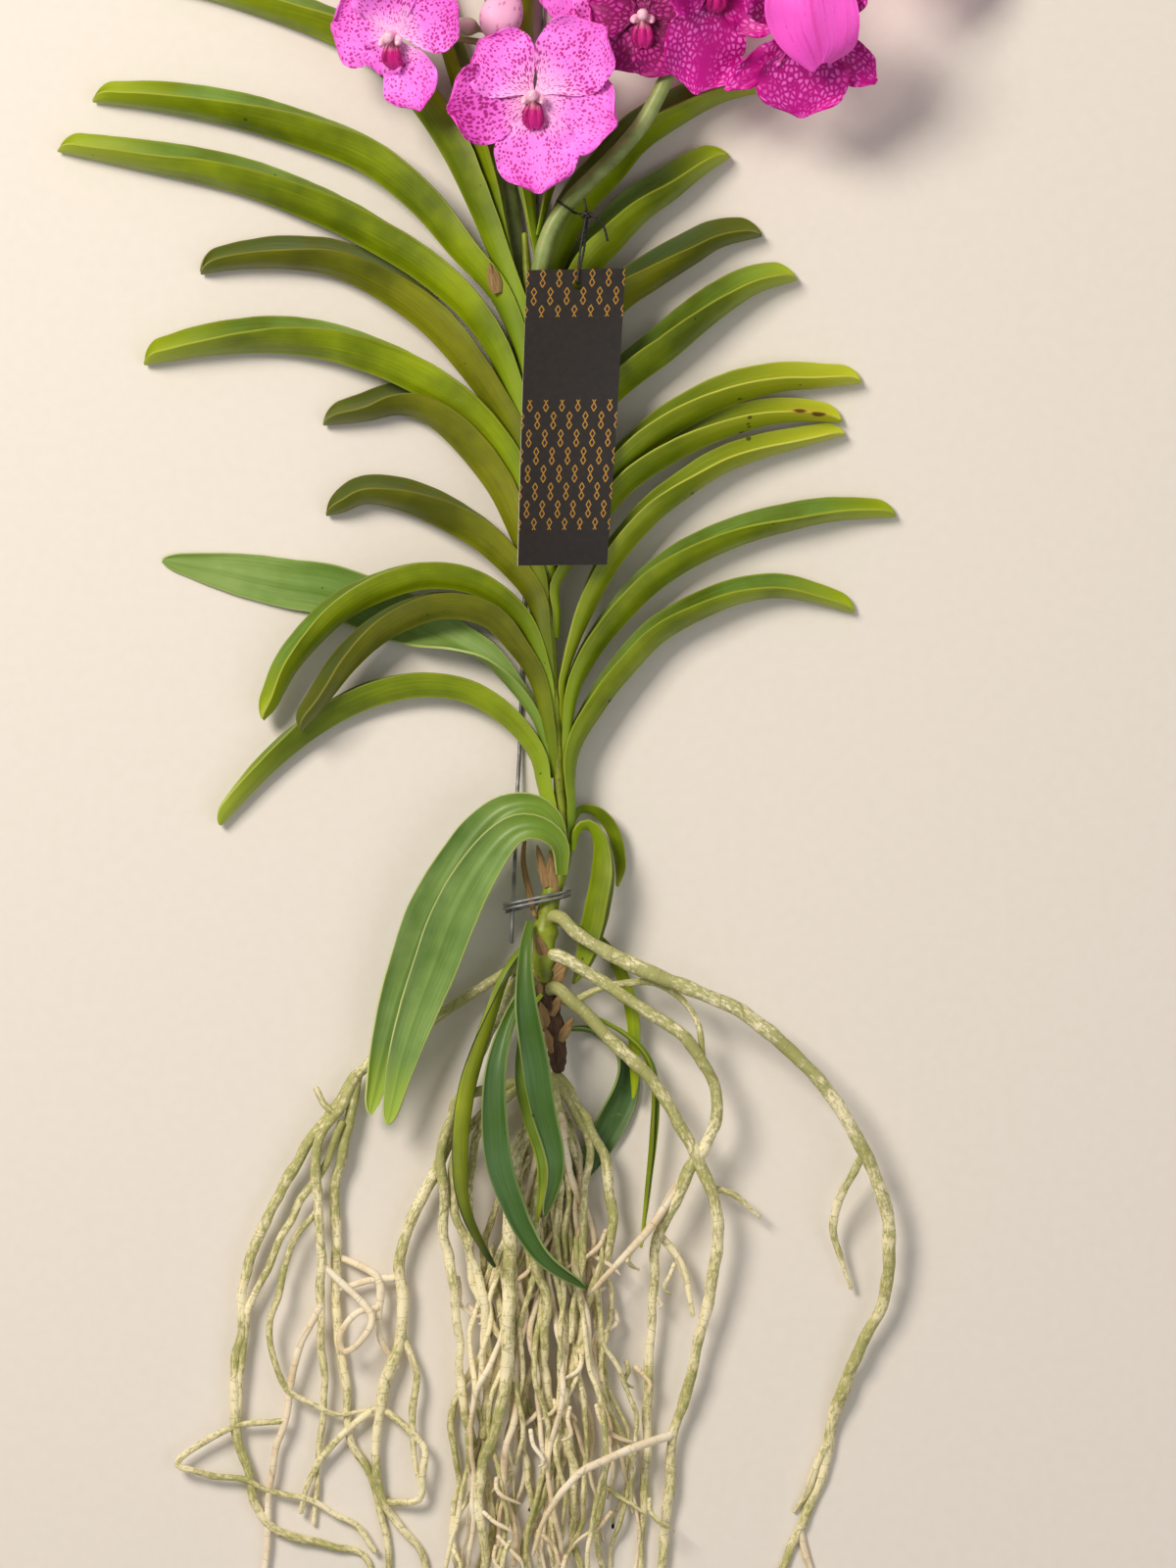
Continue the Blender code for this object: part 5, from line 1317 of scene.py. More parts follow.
@dataclass
class Trunk:
    """The leafy stem with its swollen nodes, the dead stump below it and its dry husks."""

    radii: Sequence[float] = (5.0, 5.8, 4.8, 4.9, 4.2, *([3.8] * 9), 3.2, 2.0)
    stump: Sequence[tuple[float, float]] = (
        (555, 1003.6), (555.3, 1011), (560, 1030), (567, 1056), (570, 1092.4))
    stump_radii: Sequence[float] = (5.6, 5.2, 6.2, 5.0, 5.4, 4.6, 4.8, 4.2, 3.0)
    nodes: Sequence[float] = (951.0, 980.0)
    node_bump: float = 1.3
    node_spread: float = 6.0
    covered: float = 858.0
    covered_share: float = 0.72
    rings: int = 220
    bark: float = 0.22

    def build(self) -> None:
        """Build the stem, the stump and the husks."""
        skin = StemFinish("stem_skin", "#93A32A", "#5F6A10", "#6B4E2A").make()
        husk = HuskFinish("dry_sheath", "#B49362", "#6E5230").make()
        dead = HuskFinish("dead_stem", "#6B4F38", "#2E2018").make()
        line = smooth([spot(x, y, STEM_HEIGHT) for x, y in STEM_LINE], self.rings)
        thick = []
        for index, point in enumerate(line):
            down = GRID_MIDDLE[1] - point.y / GRID_STEP
            bump = sum(self.node_bump * math.exp(-((down - place) / self.node_spread) ** 2)
                       for place in self.nodes)
            # Under the leaves' sheaths only a slim core is left.
            core = self.covered_share if down < self.covered else 1.0
            thick.append(blend(self.radii, index / (self.rings - 1)) * core + bump)
        settle(dress(sweep("stem_core", line, thick, 28), (skin,)), "stem_green", "stem")

        def rough(around: float, along: float) -> float:
            """Scale the stump's radius so that its bark shows."""
            turn = around * math.tau
            seed = Vector((math.cos(turn) * 1.6, math.sin(turn) * 1.6, along * 9))
            return 1 + self.bark * noise.fractal(seed, 1.0, 2.0, 3)

        stump = rod("stem_stump", [spot(x, y, STEM_HEIGHT) for x, y in self.stump],
                    self.stump_radii, 60, 32, rough)
        settle(dress(stump, (dead,)), "dry_husk", "stem_old")
        self.husks(husk)

    def husks(self, finish: bpy.types.Material) -> None:
        """Build the dry stalk and the torn sheaths round the stem's foot.

        Args:
            finish: The dry material.
        """
        stalk = rod("husk_stem", [spot(*point) for point in HUSK_STALK],
                    (1.0, 1.6, 1.8, 1.6, 1.4, 1.2, 0.8), 40, 12)
        settle(dress(stalk, (finish,)), "dry_husk", "husk_stalk")
        for index, (foot, tip, half) in enumerate(HUSKS):
            base, end = spot(*foot), spot(*tip)
            reach = end - base

            def curl(across: float, along: float) -> Vector:
                """Give a point of a torn sheath."""
                side = Vector((reach.y, -reach.x, 0)).normalized()
                taper = math.sin(math.pi * min(1.0, 0.25 + 0.72 * along))
                wide = half * taper * across
                cup = -0.35 * half * across**2
                lift = 1.6 * noise.noise(Vector((across * 1.4, along * 3, index * 5.0)))
                return (base + reach * along + side * wide * MM
                        + Vector((0, 0, (cup + lift * along) * MM)))

            sheath = grid_sheet(f"husk_sheath_{index + 1:02d}", 8, 20, curl,
                                (2 * half, reach.length / MM))
            thicken(sheath, 0.35, both=False)
            settle(dress(sheath, (finish,)), "dry_husk")


@dataclass
class Strand:
    """One aerial root, with the small bends, swellings and wander of a grown one.

    Its seat is the direction it grows out of the stem in. A root that has none starts free.
    """

    route: Sequence[tuple[float, float]]
    heights: Sequence[float]
    radii: Sequence[float]
    seat: float | None = None
    spacing: float = 2.4
    sides: int = 12
    seed: float = 0.0
    wander: float = 0.9
    sway: float = 0.0
    finish: int = 0
    seat_reaches: tuple[float, float] = (2, 11)
    knob: float = 0.16
    knob_length: float = 9.0
    swelling: float = 0.14
    swelling_length: float = 40.0

    def line(self) -> list[Vector]:
        """Lay the root's middle line.

        Returns:
            Its points.
        """
        last = len(self.route) - 1
        places = [spot(x, y, blend(self.heights, i / last))
                  for i, (x, y) in enumerate(self.route)]
        if self.seat is not None:
            down = self.route[0][1]
            middle = spot(stem_middle(down), down, STEM_HEIGHT)
            out = Vector((math.cos(math.radians(self.seat)), 0,
                          math.sin(math.radians(self.seat))))
            places[:1] = [middle + out * reach * MM for reach in self.seat_reaches]
        count = max(6, round(length_of(places) / (self.spacing * MM)))
        spaced = smooth(places, count)
        moved = []
        for index, point in enumerate(spaced):
            ease = min(1.0, index / 8)
            step = Vector((self.seed * 7.3, index * self.spacing / 15, 0))
            shift = Vector([noise.noise(step + Vector((lane, 0, 0))) for lane in (0, 40, 80)])
            slow = step * 0.28 + Vector((3, 5, 7))
            drift = Vector((noise.noise(slow), 0, 0.5 * noise.noise(slow * 1.3)))
            moved.append(point + (shift * self.wander + drift * self.sway) * ease * MM)
        return moved

    def build(self) -> bpy.types.Object:
        """Build the root as one rod.

        Returns:
            The rod.
        """
        line = self.line()
        thick = []
        for index in range(len(line)):
            part = index / (len(line) - 1)
            step = index * self.spacing
            short = noise.noise(Vector((step / self.knob_length, self.seed * 3.1, 5)))
            slow = noise.noise(Vector((step / self.swelling_length, self.seed * 1.7, 15)))
            thick.append(blend(self.radii, part)
                         * (1 + self.knob * short + self.swelling * slow))

        def lumps(around: float, along: float) -> float:
            """Scale the root's radius so that it is a little uneven."""
            turn = around * math.tau
            seed = Vector((math.cos(turn), math.sin(turn),
                           along * len(line) * self.spacing / 7 + self.seed))
            return 1 + 0.1 * noise.noise(seed)

        piece = sweep("strand", line, thick, self.sides, lumps)
        for vertex in piece.data.vertices:
            vertex.co.z = max(vertex.co.z, 0.0)
        return piece


@dataclass
class Roots:
    """The thick free roots and the tangled skirt."""

    loose_seed: int = 7
    loose_count: int = 7
    fine_seed: int = 11
    fine_count: int = 26
    side_count: int = 34
    thin_radius: float = 2.3
    crown: tuple[float, float] = (566, 1100)
    depth: float = 600.0
    flare: float = 2.4

    def fan(self, foot: float, part: float) -> float:
        """Say how far across a root of the skirt is, a part of the way down to its foot."""
        return self.crown[0] + (foot - self.crown[0]) * (1 - (1 - part) ** self.flare)

    def loose(self) -> list[tuple[Any, ...]]:
        """Draw the wavering roots that fill the skirt's middle, fanning from the stump.

        Returns:
            Each one's route, heights and radii.
        """
        draw = random.Random(self.loose_seed)
        middle, top = self.crown
        strands = []
        for index in range(self.loose_count):
            foot = 466 + index * 156 / (self.loose_count - 1)
            end = draw.uniform(1560, 1750)
            height = draw.choice((5, 8, 11, 14))
            sway = [draw.uniform(-10, 10) for _ in range(6)]
            route = [(middle + draw.uniform(-2, 2), top)]
            for step, shift in enumerate(sway):
                part = (step + 1) / len(sway)
                route.append((self.fan(foot, part) + shift, top + (end - top) * part))
            strands.append((route, (17, height, height, height * 0.6, 1.2),
                            (2.0, 1.8, 1.9, 1.0)))
        return strands

    def fine(self) -> list[Strand]:
        """Draw the thin curly roots between the thick ones, and short young side roots.

        Returns:
            The roots, not built yet.
        """
        draw = random.Random(self.fine_seed)
        strands = []
        for index in range(self.fine_count):
            foot = 452 + index * 200 / (self.fine_count - 1) + draw.uniform(-6, 6)
            start = draw.uniform(1130, 1280)
            end = draw.uniform(1520, 1745)
            top = self.fan(foot, (start - self.crown[1]) / self.depth)
            height = draw.uniform(3, 17)
            phase = draw.uniform(0, math.tau)
            swing = draw.uniform(4, 11)
            route = []
            for step in range(9):
                part = step / 8
                lean = top + (foot - top) * part
                route.append((lean + swing * math.sin(phase + part * 9) * (0.4 + part),
                              start + (end - start) * part + draw.uniform(-5, 5)))
            strands.append(Strand(route, (height, height + 2, height, 1.5),
                                  (1.3, 1.5, 1.3, 0.7), seed=60 + index, wander=1.6,
                                  sway=13.0, sides=10, finish=int(index % 3 == 0)))
        for index in range(self.side_count):
            across, down = draw.uniform(450, 690), draw.uniform(1250, 1600)
            lean = draw.uniform(-1, 1)
            height = draw.uniform(6, 16)
            reach = draw.uniform(26, 60)
            route = [(across + lean * reach * part + 6 * math.sin(5 * part + index),
                      down + reach * part * (1.2 - 0.5 * part)) for part in
                     (0.0, 0.25, 0.5, 0.75, 1.0)]
            strands.append(Strand(route, (height, height + 4, height + 3),
                                  (1.2, 1.3, 1.1, 0.6), seed=200 + index, wander=1.6,
                                  sway=5.0, sides=10, finish=int(index % 4 > 0)))
        return strands

    def build(self) -> None:
        """Build the four groups of roots."""
        old = RootFinish("root_velamen", "#F8EEC8", "#D6CA96", "#969E56", "#7E7448", 0.85).make()
        young = RootFinish("root_young", "#F8EED6", "#E6D0AE", "#AEB27A", "#A08C68", 0.1).make()
        groups = {
            "root_right_long": ROOTS_RIGHT_LONG,
            "roots_right": ROOTS_RIGHT,
            "roots_left": ROOTS_LEFT,
            "roots_centre": (*ROOTS_CENTRE, *self.loose()),
        }
        for group, (name, routes) in enumerate(groups.items()):
            strands = []
            skirt = name == "roots_centre"
            for index, (route, heights, radii, *seat) in enumerate(routes):
                thin = max(radii) < self.thin_radius
                strands.append(Strand(route, heights, radii, *seat,
                                      seed=group * 20 + index + 0.5,
                                      wander=1.7 if skirt else 1.0,
                                      sway=11.0 if skirt else 0.0,
                                      finish=int(thin and index % 3 == 0)))
            if skirt:
                strands.extend(self.fine())
            piece = join(f"{name}_skin", [dress(strand.build(), (old, young), strand.finish)
                                          for strand in strands])
            settle(piece, "root_skin", name)


class Skin(IntEnum):
    """The order of a flower's finishes."""

    FRONT = 0
    BACK = 1
    COLUMN = 2
    LIP = 3
    DENSE = 4


@dataclass
class Bloom:
    """One flower: five sepals and petals, a column with its cap, and a lip with side lobes."""

    name: str
    heart: tuple[float, float, float]
    facing: tuple[float, float, float]
    slot: str
    tepals: Sequence[tuple[float, float, float, float]]
    finishes: Sequence[bpy.types.Material]
    dense_angles: tuple[float, ...] = (188,)
    outline: Sequence[float] = (0.1, 0.26, 0.53, 0.77, 0.93, 1.0, 1.02, 1.0, 0.92, 0.72, 0.2)
    layers: Sequence[float] = (1.2, -1.6, -0.2, -1.6, 1.2)
    thickness: float = 0.9
    cup: float = 1.6
    ruffle: float = 2.1
    warp: float = 2.4
    droop: float = 36.0
    hooded: str = "bloom_right_03"

    def frame(self) -> Matrix:
        """Stand the bloom at its heart, facing its own way.

        Returns:
            The placement, from millimetres.
        """
        out = Vector(self.facing).normalized()
        across = Vector((0, 1, 0)).cross(out).normalized()
        turn = Matrix((across, out.cross(across), out)).transposed().to_4x4()
        return Matrix.Translation(spot(*self.heart)) @ turn @ Matrix.Scale(MM, 4)

    def tepal(self, index: int) -> bpy.types.Object:
        """Build one sepal or petal.

        Args:
            index: Which one.

        Returns:
            The petal.
        """
        angle, length, width, forward = self.tepals[index]
        layer = self.layers[index]
        turn = self.frame() @ Matrix.Rotation(math.radians(angle), 4, "Z")
        seed = self.heart[0] * 0.13 + index * 3.7

        def place(across: float, along: float) -> Vector:
            """Give a point of the sepal's or petal's middle sheet."""
            lane = -across
            spread = swell(self.outline, along)
            reach = 0.05 + 0.95 * along
            lift = layer * min(spread, 1.0) + forward * reach**2
            lift += self.cup * lane**2 * spread
            ruffle = math.sin(along * 13 + seed + 2.1 * lane) * abs(lane) ** 3
            lift += self.ruffle * ruffle * min(1.0, 2.2 * along)
            lift += self.warp * noise.noise(Vector((lane * 1.3, reach * 2.6, seed))) * along
            lift -= self.droop * max(0.0, along - 0.82) ** 2 * (0.4 + 0.6 * lane**2)
            edge = 1 + 0.05 * noise.noise(Vector((along * 5, seed, lane)))
            blunt = reach * length * (1 - 0.07 * lane**2 * reach)
            return turn @ Vector((blunt, lane * spread * width / 2 * edge, lift))

        petal = dress(grid_sheet("tepal", 24, 30, place, (width, length), 1.2),
                      self.finishes)
        thicken(petal, self.thickness)
        if angle in self.dense_angles:
            for polygon in petal.data.polygons:
                polygon.material_index = polygon.material_index or Skin.DENSE
        return petal

    def hood(self) -> bpy.types.Object:
        """Build the petal that folds forward over the heart and shows its back.

        Returns:
            The petal.
        """
        frame = self.frame()

        def place(lane: float, along: float) -> Vector:
            """Give a point of the folded petal's middle sheet."""
            # Its back faces the viewer, so the sheet's front is turned away.
            half = swell((3, 11, 18, 22, 23.5, 22, 17, 5), along)
            down = swell((2, 11, 18, 19, 12, 2, -8, -17), along)
            out = swell((1, 4, 9, 15, 19, 20, 19, 16), along)
            shift = swell((0, 0, 0, 1, 2, 4, 7, 8), along)
            out += 2.2 * math.sin(along * 9 + 2 * lane) * abs(lane) ** 2
            out += 2.0 * noise.noise(Vector((lane * 1.4, along * 3, 8.5))) - 3.5 * lane**2
            down += 2.4 * math.sin(2.4 * lane + 0.6) * along
            return frame @ Vector((lane * half + shift, down, out))

        petal = dress(grid_sheet("hood", 26, 36, place, (44, 52)), self.finishes)
        thicken(petal, self.thickness)
        return petal

    def middle(self) -> list[bpy.types.Object]:
        """Build the heart, the column with its cap, and the lip.

        Returns:
            The dressed pieces.
        """
        frame = self.frame()
        pieces = []
        ears = [("lobe", ((side * 1.6, -0.6, 1.5), (side * 4.2, -2.0, 5.0),
                          (side * 4.6, -3.4, 8.2)), (1.6, 2.3, 2.0, 0.9), 14, 14)
                for side in (-1, 1)]
        for name, points, radii, count, sides in (
            ("heart", ((0, 0, -3.4), (0, 0, -1.6), (0, 0, 0.4), (0, 0, 2.4)),
             (2.2, 3.2, 3.2, 2.2), 12, 20),
            ("column", ((0, 0.6, 0), (0, 0.8, 4), (0, 0.4, 8), (0, -1.2, 10.4)),
             (2.8, 2.3, 2.5, 2.9, 2.2), 20, 20),
            *ears,
        ):
            line = [frame @ Vector(point) for point in points]
            pieces.append((rod(name, line, radii, count, sides), Skin.COLUMN))

        def lip(across: float, along: float) -> Vector:
            """Give a point of the lip's middle sheet."""
            lane = -across
            spread = swell((1.6, 3.0, 4.4, 5.2, 4.9, 2.4), along)
            height = swell((1.2, 4.2, 6.2, 6.6, 5.6, 3.4), along)
            ridge = 0.9 * math.cos(lane * 7.5) * (1 - along) ** 0.5
            droop = -1.7 * lane**2 * (0.3 + along)
            notch = -1.6 * (1 - abs(lane)) ** 3 * max(0.0, along - 0.8) * 5
            return frame @ Vector((lane * spread, -1 - 15.5 * along - notch,
                                   height + ridge + droop))

        sheet = grid_sheet("lip", 20, 22, lip, (10, 16))
        thicken(sheet, 1.3, both=False)
        pieces.append((sheet, Skin.LIP))
        return [dress(piece, self.finishes, index) for piece, index in pieces]

    def build(self) -> None:
        """Build and dress the flower."""
        tepals = [self.tepal(index) for index in range(len(self.tepals))]
        if self.name == self.hooded:
            tepals.append(self.hood())
        flower = join(f"{self.name}_flower", [*tepals, *self.middle()])
        settle(flower, self.slot, self.name, angle=70)


@dataclass
class Spikes:
    """Both flower stalks with the blooms' own stalks and the young buds, and the pink bud."""

    right_radii: Sequence[float] = (4.4, 4.2, 4.2, 3.8, 3.2, 2.6, 1.8)
    left_radii: Sequence[float] = (4.2, 4.0, 3.6, 3.2, 2.6, 1.8)
    pedicel_radii: Sequence[float] = (2.2, 1.6, 1.5, 1.4)
    heart_radius: float = 3.6
    bend_length: float = 12.0
    rings: int = 130

    def rachis(self, route: Route, radii: Sequence[float]) -> bpy.types.Object:
        """Build one main stalk.

        Args:
            route: Its middle line.
            radii: Its radii from foot to tip.

        Returns:
            The stalk.
        """
        line = smooth([spot(*point) for point in route], self.rings)
        thick = [blend(radii, index / (self.rings - 1)) for index in range(self.rings)]
        return sweep("rachis", line, thick, 24)

    def pedicel(self, start: tuple[float, float, float], name: str) -> bpy.types.Object:
        """Build a bloom's own stalk.

        Args:
            start: Where it leaves the main stalk.
            name: The bloom.

        Returns:
            The stalk.
        """
        heart, facing, *_ = BLOOMS[name]
        out = Vector(facing).normalized()
        seat = spot(*heart) - out * self.heart_radius * MM
        foot = spot(*start)
        bend = seat - out * self.bend_length * MM
        return rod("pedicel", [foot, (foot + bend) / 2, bend, seat], self.pedicel_radii, 36, 14)

    def bud(self, foot: tuple[float, float, float], tip: tuple[float, float, float],
            radius: float) -> bpy.types.Object:
        """Build a small closed bud on its stalk.

        Args:
            foot: Where its stalk starts.
            tip: Its tip.
            radius: Its largest radius.

        Returns:
            The bud.
        """
        return rod("bud", [spot(*foot), spot(*foot).lerp(spot(*tip), 0.5), spot(*tip)],
                   (1.3, 1.4, radius, radius * 0.85, 0.8), 40, 24, keeled)

    def build(self) -> None:
        """Build both spikes and the pink bud."""
        skin = StemFinish("spike_skin", "#9AAA6A", "#6E8038", "#B08A52").make()
        blush = StemFinish("pedicel_skin", "#C9A9A0", "#9DA468", "#B87E9A").make()
        young = PlainFinish("young_bud_skin", "#B9C48A", "#C79AB0", 6.0, 0.45).make()
        skins = (skin, blush, young)
        stalks = {Side.LEFT: [dress(self.rachis(LEFT_RACHIS, self.left_radii), skins)],
                  Side.RIGHT: [dress(self.rachis(RIGHT_RACHIS, self.right_radii), skins)]}
        for name, start in PEDICEL_STARTS.items():
            side = Side.LEFT if name.startswith("bloom_left") else Side.RIGHT
            stalks[side].append(dress(self.pedicel(start, name), skins, 1))
        for side, foot, tip, radius in YOUNG_BUDS:
            stalks[Side(side)].append(dress(self.bud(foot, tip, radius), skins, 2))
        for side, pieces in stalks.items():
            name = f"spike_{side.name.lower()}"
            settle(join(f"{name}_stalk", pieces), "stem_green", name)

        bud = rod("bud_closed", [spot(*point) for point in PINK_BUD],
                  (1.3, 1.4, 1.5, 2.6, 7.0, 10.0, 10.6, 8.2, 1.6), 60, 36, keeled)
        petal = PetalFinish(
            "bud_petal", ground="#F3B6DE", heart="#E9C4C0", mark="#C94AA0", edge="#F7C6EA",
            pattern=Pattern.SPOTS, pitch=3.4, cover=0.26, strength=0.6)
        settle(dress(bud, (petal.make(),)), "bud_pink", "bud_pink")


def keeled(around: float, along: float) -> float:
    """Scale a bud's radius so that its closed sepals show as three soft ridges."""
    return 1 + 0.07 * math.cos(3 * around * math.tau) * math.sin(math.pi * along)


@dataclass
class Inflorescence:
    """All the blooms, light on the left spike and deep on the right one."""

    def build(self) -> None:
        """Build every bloom."""
        column = PlainFinish("bloom_column", "#F6DCE2", "#EFA8D2", 2.2, 0.42).make()
        lip = PetalFinish("bloom_lip", ground="#C2147F", heart="#F2C9D6", mark="#8E0A5C",
                          edge="#E23BA6", pattern=Pattern.VEINS, pitch=1.6).make()
        dense = PetalFinish("petal_light_dense", ground="#EE6AE2", heart="#F8BCE8",
                            mark="#A00A70", edge="#DE1CB0", pattern=Pattern.SPOTS,
                            pitch=1.8, cover=0.47).make()
        light = self.pair(PetalFinish(
            "petal_light", ground="#FA86F4", heart="#FCCBF6", mark="#B80C84",
            edge="#F04AD8", pattern=Pattern.SPOTS, pitch=1.7, cover=0.38))
        deep = self.pair(PetalFinish(
            "petal_deep", ground="#84005A", heart="#4E002A", mark="#E84CC2",
            edge="#B40086", pattern=Pattern.NET, pitch=2.6, cover=0.2, strength=0.7))
        bright = self.pair(PetalFinish(
            "petal_bright", ground="#B60084", heart="#840058", mark="#FA78E6",
            edge="#DE00A4", pattern=Pattern.NET, pitch=2.6, cover=0.2, strength=0.85))
        pairs = {"bloom_right_02": bright, "bloom_right_03": bright, "bloom_right_05": bright}
        for name, (heart, facing, slot, tepals) in BLOOMS.items():
            faces = pairs.get(name, light if slot == "petal_light" else deep)
            Bloom(name, heart, facing, slot, tepals, (*faces, column, lip, dense)).build()

    def pair(self, finish: PetalFinish) -> tuple[bpy.types.Material, bpy.types.Material]:
        """Make a petal's front and its paler, veined back.

        Args:
            finish: The front's finish.

        Returns:
            Both materials.
        """
        back = PetalFinish(finish.name + "_back", ground="#FB62DC", heart="#F59AD8",
                           mark="#E0309C", edge="#FA4CD0", pattern=Pattern.VEINS, pitch=1.8,
                           strength=0.45)
        return finish.make(), back.make()


@dataclass
class Wire:
    """The wire hanger behind the plant, and the loose two-turn ring round its stem."""

    radius: float = 1.0
    hook_start: tuple[float, float, float] = (562, -212, 1.4)
    hook_radius: float = 34.0
    hook_turn: float = 225.0
    hook_steps: int = 40
    ring_middle: tuple[float, float, float] = (548, 919, 18.5)
    ring_reach: tuple[float, float] = (16.8, 7.5)
    ring_pitch: float = 2.2
    ring_tilt: float = 4.0
    ring_start: float = 200.0
    turn_steps: int = 64

    def build(self) -> None:
        """Build the hanger and the ring."""
        finish = WireFinish().make()
        straight = smooth([spot(*point) for point in HANGER], 90)
        across, down, height = self.hook_start
        turn = []
        for step in range(self.hook_steps + 1):
            angle = math.radians(self.hook_turn * step / self.hook_steps)
            turn.append(spot(across - self.hook_radius + self.hook_radius * math.cos(angle),
                             down - self.hook_radius * math.sin(angle), height))
        line = [*straight, *turn]
        hanger = sweep("hanger_wire", line, [self.radius] * len(line), 14)
        settle(dress(hanger, (finish,)), "galvanised_wire", "wire_hanger")

        centre = spot(*self.ring_middle)
        coil = []
        for step in range(2 * self.turn_steps + 1):
            turns = step / self.turn_steps
            angle = math.radians(self.ring_start + 360 * turns)
            rise = self.ring_tilt * math.cos(angle) + self.ring_pitch * (turns - 1)
            coil.append(centre + Vector((self.ring_reach[0] * math.cos(angle), rise,
                                         self.ring_reach[1] * math.sin(angle))) * MM)
        ring = sweep("ring_wire", coil, [0.8 * self.radius] * len(coil), 12)
        settle(dress(ring, (finish,)), "galvanised_wire", "wire_ring")


@dataclass
class Tag:
    """The hanging card, punched near its top, and the twisted string that ties it on."""

    top: tuple[float, float, float] = (588, 279, 41.0)
    bottom: tuple[float, float, float] = (574, 578.5, 40.5)
    width: float = 50.0
    length: float = 150.0
    thickness: float = 0.7
    twist: tuple[float, float] = (6.0, 20.0)
    bow: float = 2.0
    hole: float = 2.2
    hole_place: tuple[float, float] = (0.04, 0.055)
    knot: tuple[float, float, float] = (599, 224, 40)
    knot_radius: float = 1.25
    loop_radius: float = 5.3
    string: float = 0.6

    def point(self, across: float, along: float) -> Vector:
        """Give a point of the card.

        Args:
            across: From -1 to 1.
            along: From its top, 0, to its foot, 1.

        Returns:
            The point.
        """
        middle = spot(*self.top).lerp(spot(*self.bottom), along)
        turn = math.radians(self.twist[0] + self.twist[1] * along)
        bow = -self.bow * math.sin(math.pi * along)
        side = Vector((math.cos(turn), 0.03, -math.sin(turn)))
        return middle + side * across * self.width / 2 * MM + Vector((0, 0, bow * MM))

    def build(self) -> None:
        """Build the card and its string."""
        edge = PlainFinish("card_edge", "#D8D2C6", "#B8B0A2", 1.0, 0.8).make()
        card = dress(grid_sheet("tag_sheet", 20, 60, lambda u, v: self.point(-u, v),
                                (self.width, self.length)),
                     (CardFinish().make(), CardFinish("card_back").make(), edge))
        thicken(card, self.thickness, rim=2)
        eye = self.point(*self.hole_place)
        bpy.ops.object.select_all(action="DESELECT")
        bpy.ops.mesh.primitive_cylinder_add(vertices=40, radius=self.hole * MM,
                                            depth=12 * MM, location=eye)
        punch = bpy.context.object
        only(card)
        cut = card.modifiers.new("punched_hole", "BOOLEAN")
        cut.operation = "DIFFERENCE"
        cut.object = punch
        bpy.ops.object.modifier_apply(modifier=cut.name)
        bpy.data.objects.remove(punch)
        settle(card, "tag_card", "tag", angle=30)

        cord = PlainFinish("waxed_string", "#1C1A19", "#0B0A0A", 0.5, 0.55).make()
        knot = spot(*self.knot)
        strands = [self.twine(path) for path in self.paths(eye, knot)]
        ball = smooth([knot + Vector(shift) * MM for shift in
                       ((-2.2, -0.8, 0.0), (-0.8, 0.9, 0.9), (0.7, -0.6, 0.4),
                        (2.0, 0.7, -0.4))], 24)
        strands.append(sweep("knot", ball, [self.knot_radius] * 24, 14, twisted))
        settle(dress(join("tag_string", strands), (cord,)), "tie_string", "tag_tie")

    def paths(self, eye: Vector, knot: Vector) -> list[list[Vector]]:
        """Lay the string's runs: through the hole, round the stalk, and its tails.

        Args:
            eye: The middle of the card's hole.
            knot: Where the string is knotted.

        Returns:
            The runs.
        """
        through = [knot + Vector((-0.4, 0, 0.5)) * MM, spot(592, 262, 42),
                   eye + Vector((0.3, 3.2, 2.2)) * MM, eye + Vector((0.3, 1.1, 1.6)) * MM,
                   eye + Vector((0.3, 1.1, -1.6)) * MM, eye + Vector((0, 3.2, -2.0)) * MM,
                   spot(596, 258, 37.5), knot + Vector((0.4, 0, -0.5)) * MM]
        middle = spot(577.5, 214.5, 34.8)
        along = (spot(582, 208, 35) - spot(562, 238, 34)).normalized()
        across = along.cross(Vector((0, 0, 1))).normalized()
        up = across.cross(along)
        reach = self.loop_radius * MM
        loop = []
        for step in range(49):
            angle = math.radians(10 + 7.5 * step)
            loop.append(middle + (across * math.cos(angle) + up * math.sin(angle)) * reach)
        lead = [middle + across * reach, knot.lerp(middle + across * reach, 0.5), knot]
        tails = [[knot, spot(608, 226, 41), spot(616, 236, 41), spot(620, 250, 40)],
                 [knot, spot(598, 216, 42), spot(596, 208, 41)]]
        return [through, loop, lead, *tails]

    def twine(self, path: Sequence[Vector]) -> bpy.types.Object:
        """Wrap one run of string with the ridges of its twist."""
        count = max(12, round(length_of(path) / (0.5 * MM)))
        return sweep("twine", smooth(path, count), [self.string] * count, 10, twisted)


def twisted(around: float, along: float) -> float:
    """Scale a string's radius so that its two plies show."""
    return 1 + 0.16 * math.cos(2 * (around + 14 * along) * math.tau)


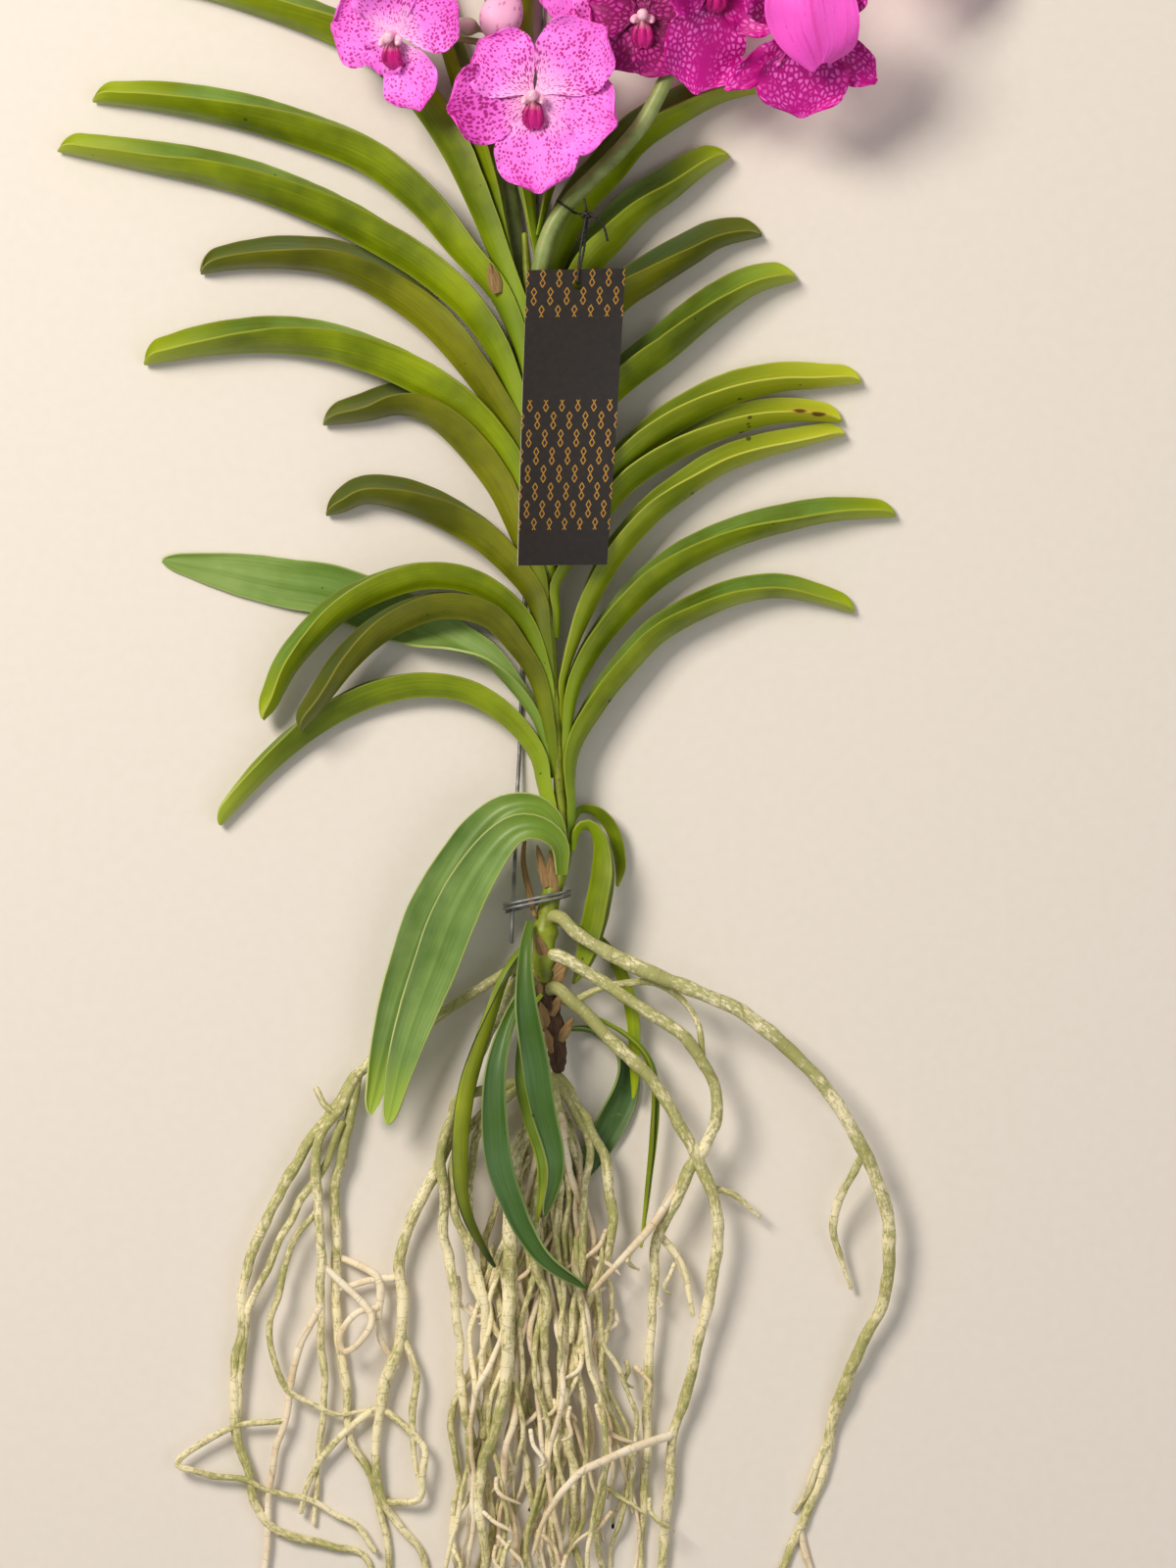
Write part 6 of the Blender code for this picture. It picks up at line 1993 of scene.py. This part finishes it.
@dataclass
class Studio:
    """Pale floor, large soft lamps from the upper left, and the camera overhead."""

    view: tuple[float, float] = (0.03725, -0.0315)
    half_height: float = 0.4
    distance: float = 2.6
    subject_height: float = 0.02
    lamps: tuple[tuple[str, tuple[float, float, float], float, float, str], ...] = (
        ("key_lamp", (-1.2, 1.1, 1.9), 0.9, 56.0, "#FFF4E4"),
        ("fill_lamp", (1.5, -0.6, 2.0), 1.6, 8.0, "#FFFFFF"),
    )
    room_colour: str = "#FFF9F2"
    room_strength: float = 0.32

    def build(self) -> None:
        """Build the floor, the lights and the camera."""
        bpy.ops.object.select_all(action="DESELECT")
        bpy.ops.mesh.primitive_plane_add(size=6.0, location=(0, 0, 0))
        floor = bpy.context.object
        floor.name = "studio_floor"
        floor.data.materials.append(
            PlainFinish("floor_paper", "#E8E3DE", "#E6E1DB", 6.0, 0.9, 0.05).make())
        for setting in self.lamps:
            self.lamp(*setting)
        world = bpy.data.worlds.new("soft_room")
        world.use_nodes = True
        sky = world.node_tree.nodes["Background"]
        sky.inputs["Color"].default_value = linear(self.room_colour)
        sky.inputs["Strength"].default_value = self.room_strength
        bpy.context.scene.world = world
        lens = bpy.data.cameras.new("overhead_camera")
        lens.sensor_fit = "VERTICAL"
        lens.angle = 2 * math.atan(self.half_height / self.distance)
        camera = bpy.data.objects.new("overhead_camera", lens)
        camera.location = (*self.view, self.subject_height + self.distance)
        bpy.context.scene.collection.objects.link(camera)
        bpy.context.scene.camera = camera
        bpy.context.scene.view_settings.view_transform = "Standard"

    def lamp(self, name: str, place: tuple[float, float, float], size: float,
             power: float, colour: str) -> None:
        """Hang one soft lamp that faces the plant.

        Args:
            name: Its name.
            place: Where it hangs.
            size: The side of its square, in metres.
            power: In watts.
            colour: Its colour.
        """
        light = bpy.data.lights.new(name, "AREA")
        light.size = size
        light.energy = power
        light.color = linear(colour)[:3]
        lamp = bpy.data.objects.new(name, light)
        lamp.location = place
        aim = Vector((*self.view, 0.0)) - Vector(place)
        lamp.rotation_euler = aim.to_track_quat("-Z", "Y").to_euler()
        bpy.context.scene.collection.objects.link(lamp)


def main() -> None:
    """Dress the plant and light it."""
    logging.basicConfig(level=logging.INFO, format="%(message)s")
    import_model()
    Studio().build()
    Trunk().build()
    Foliage().build()
    Roots().build()
    Spikes().build()
    Inflorescence().build()
    Wire().build()
    Tag().build()


if __name__ == "__main__":
    main()
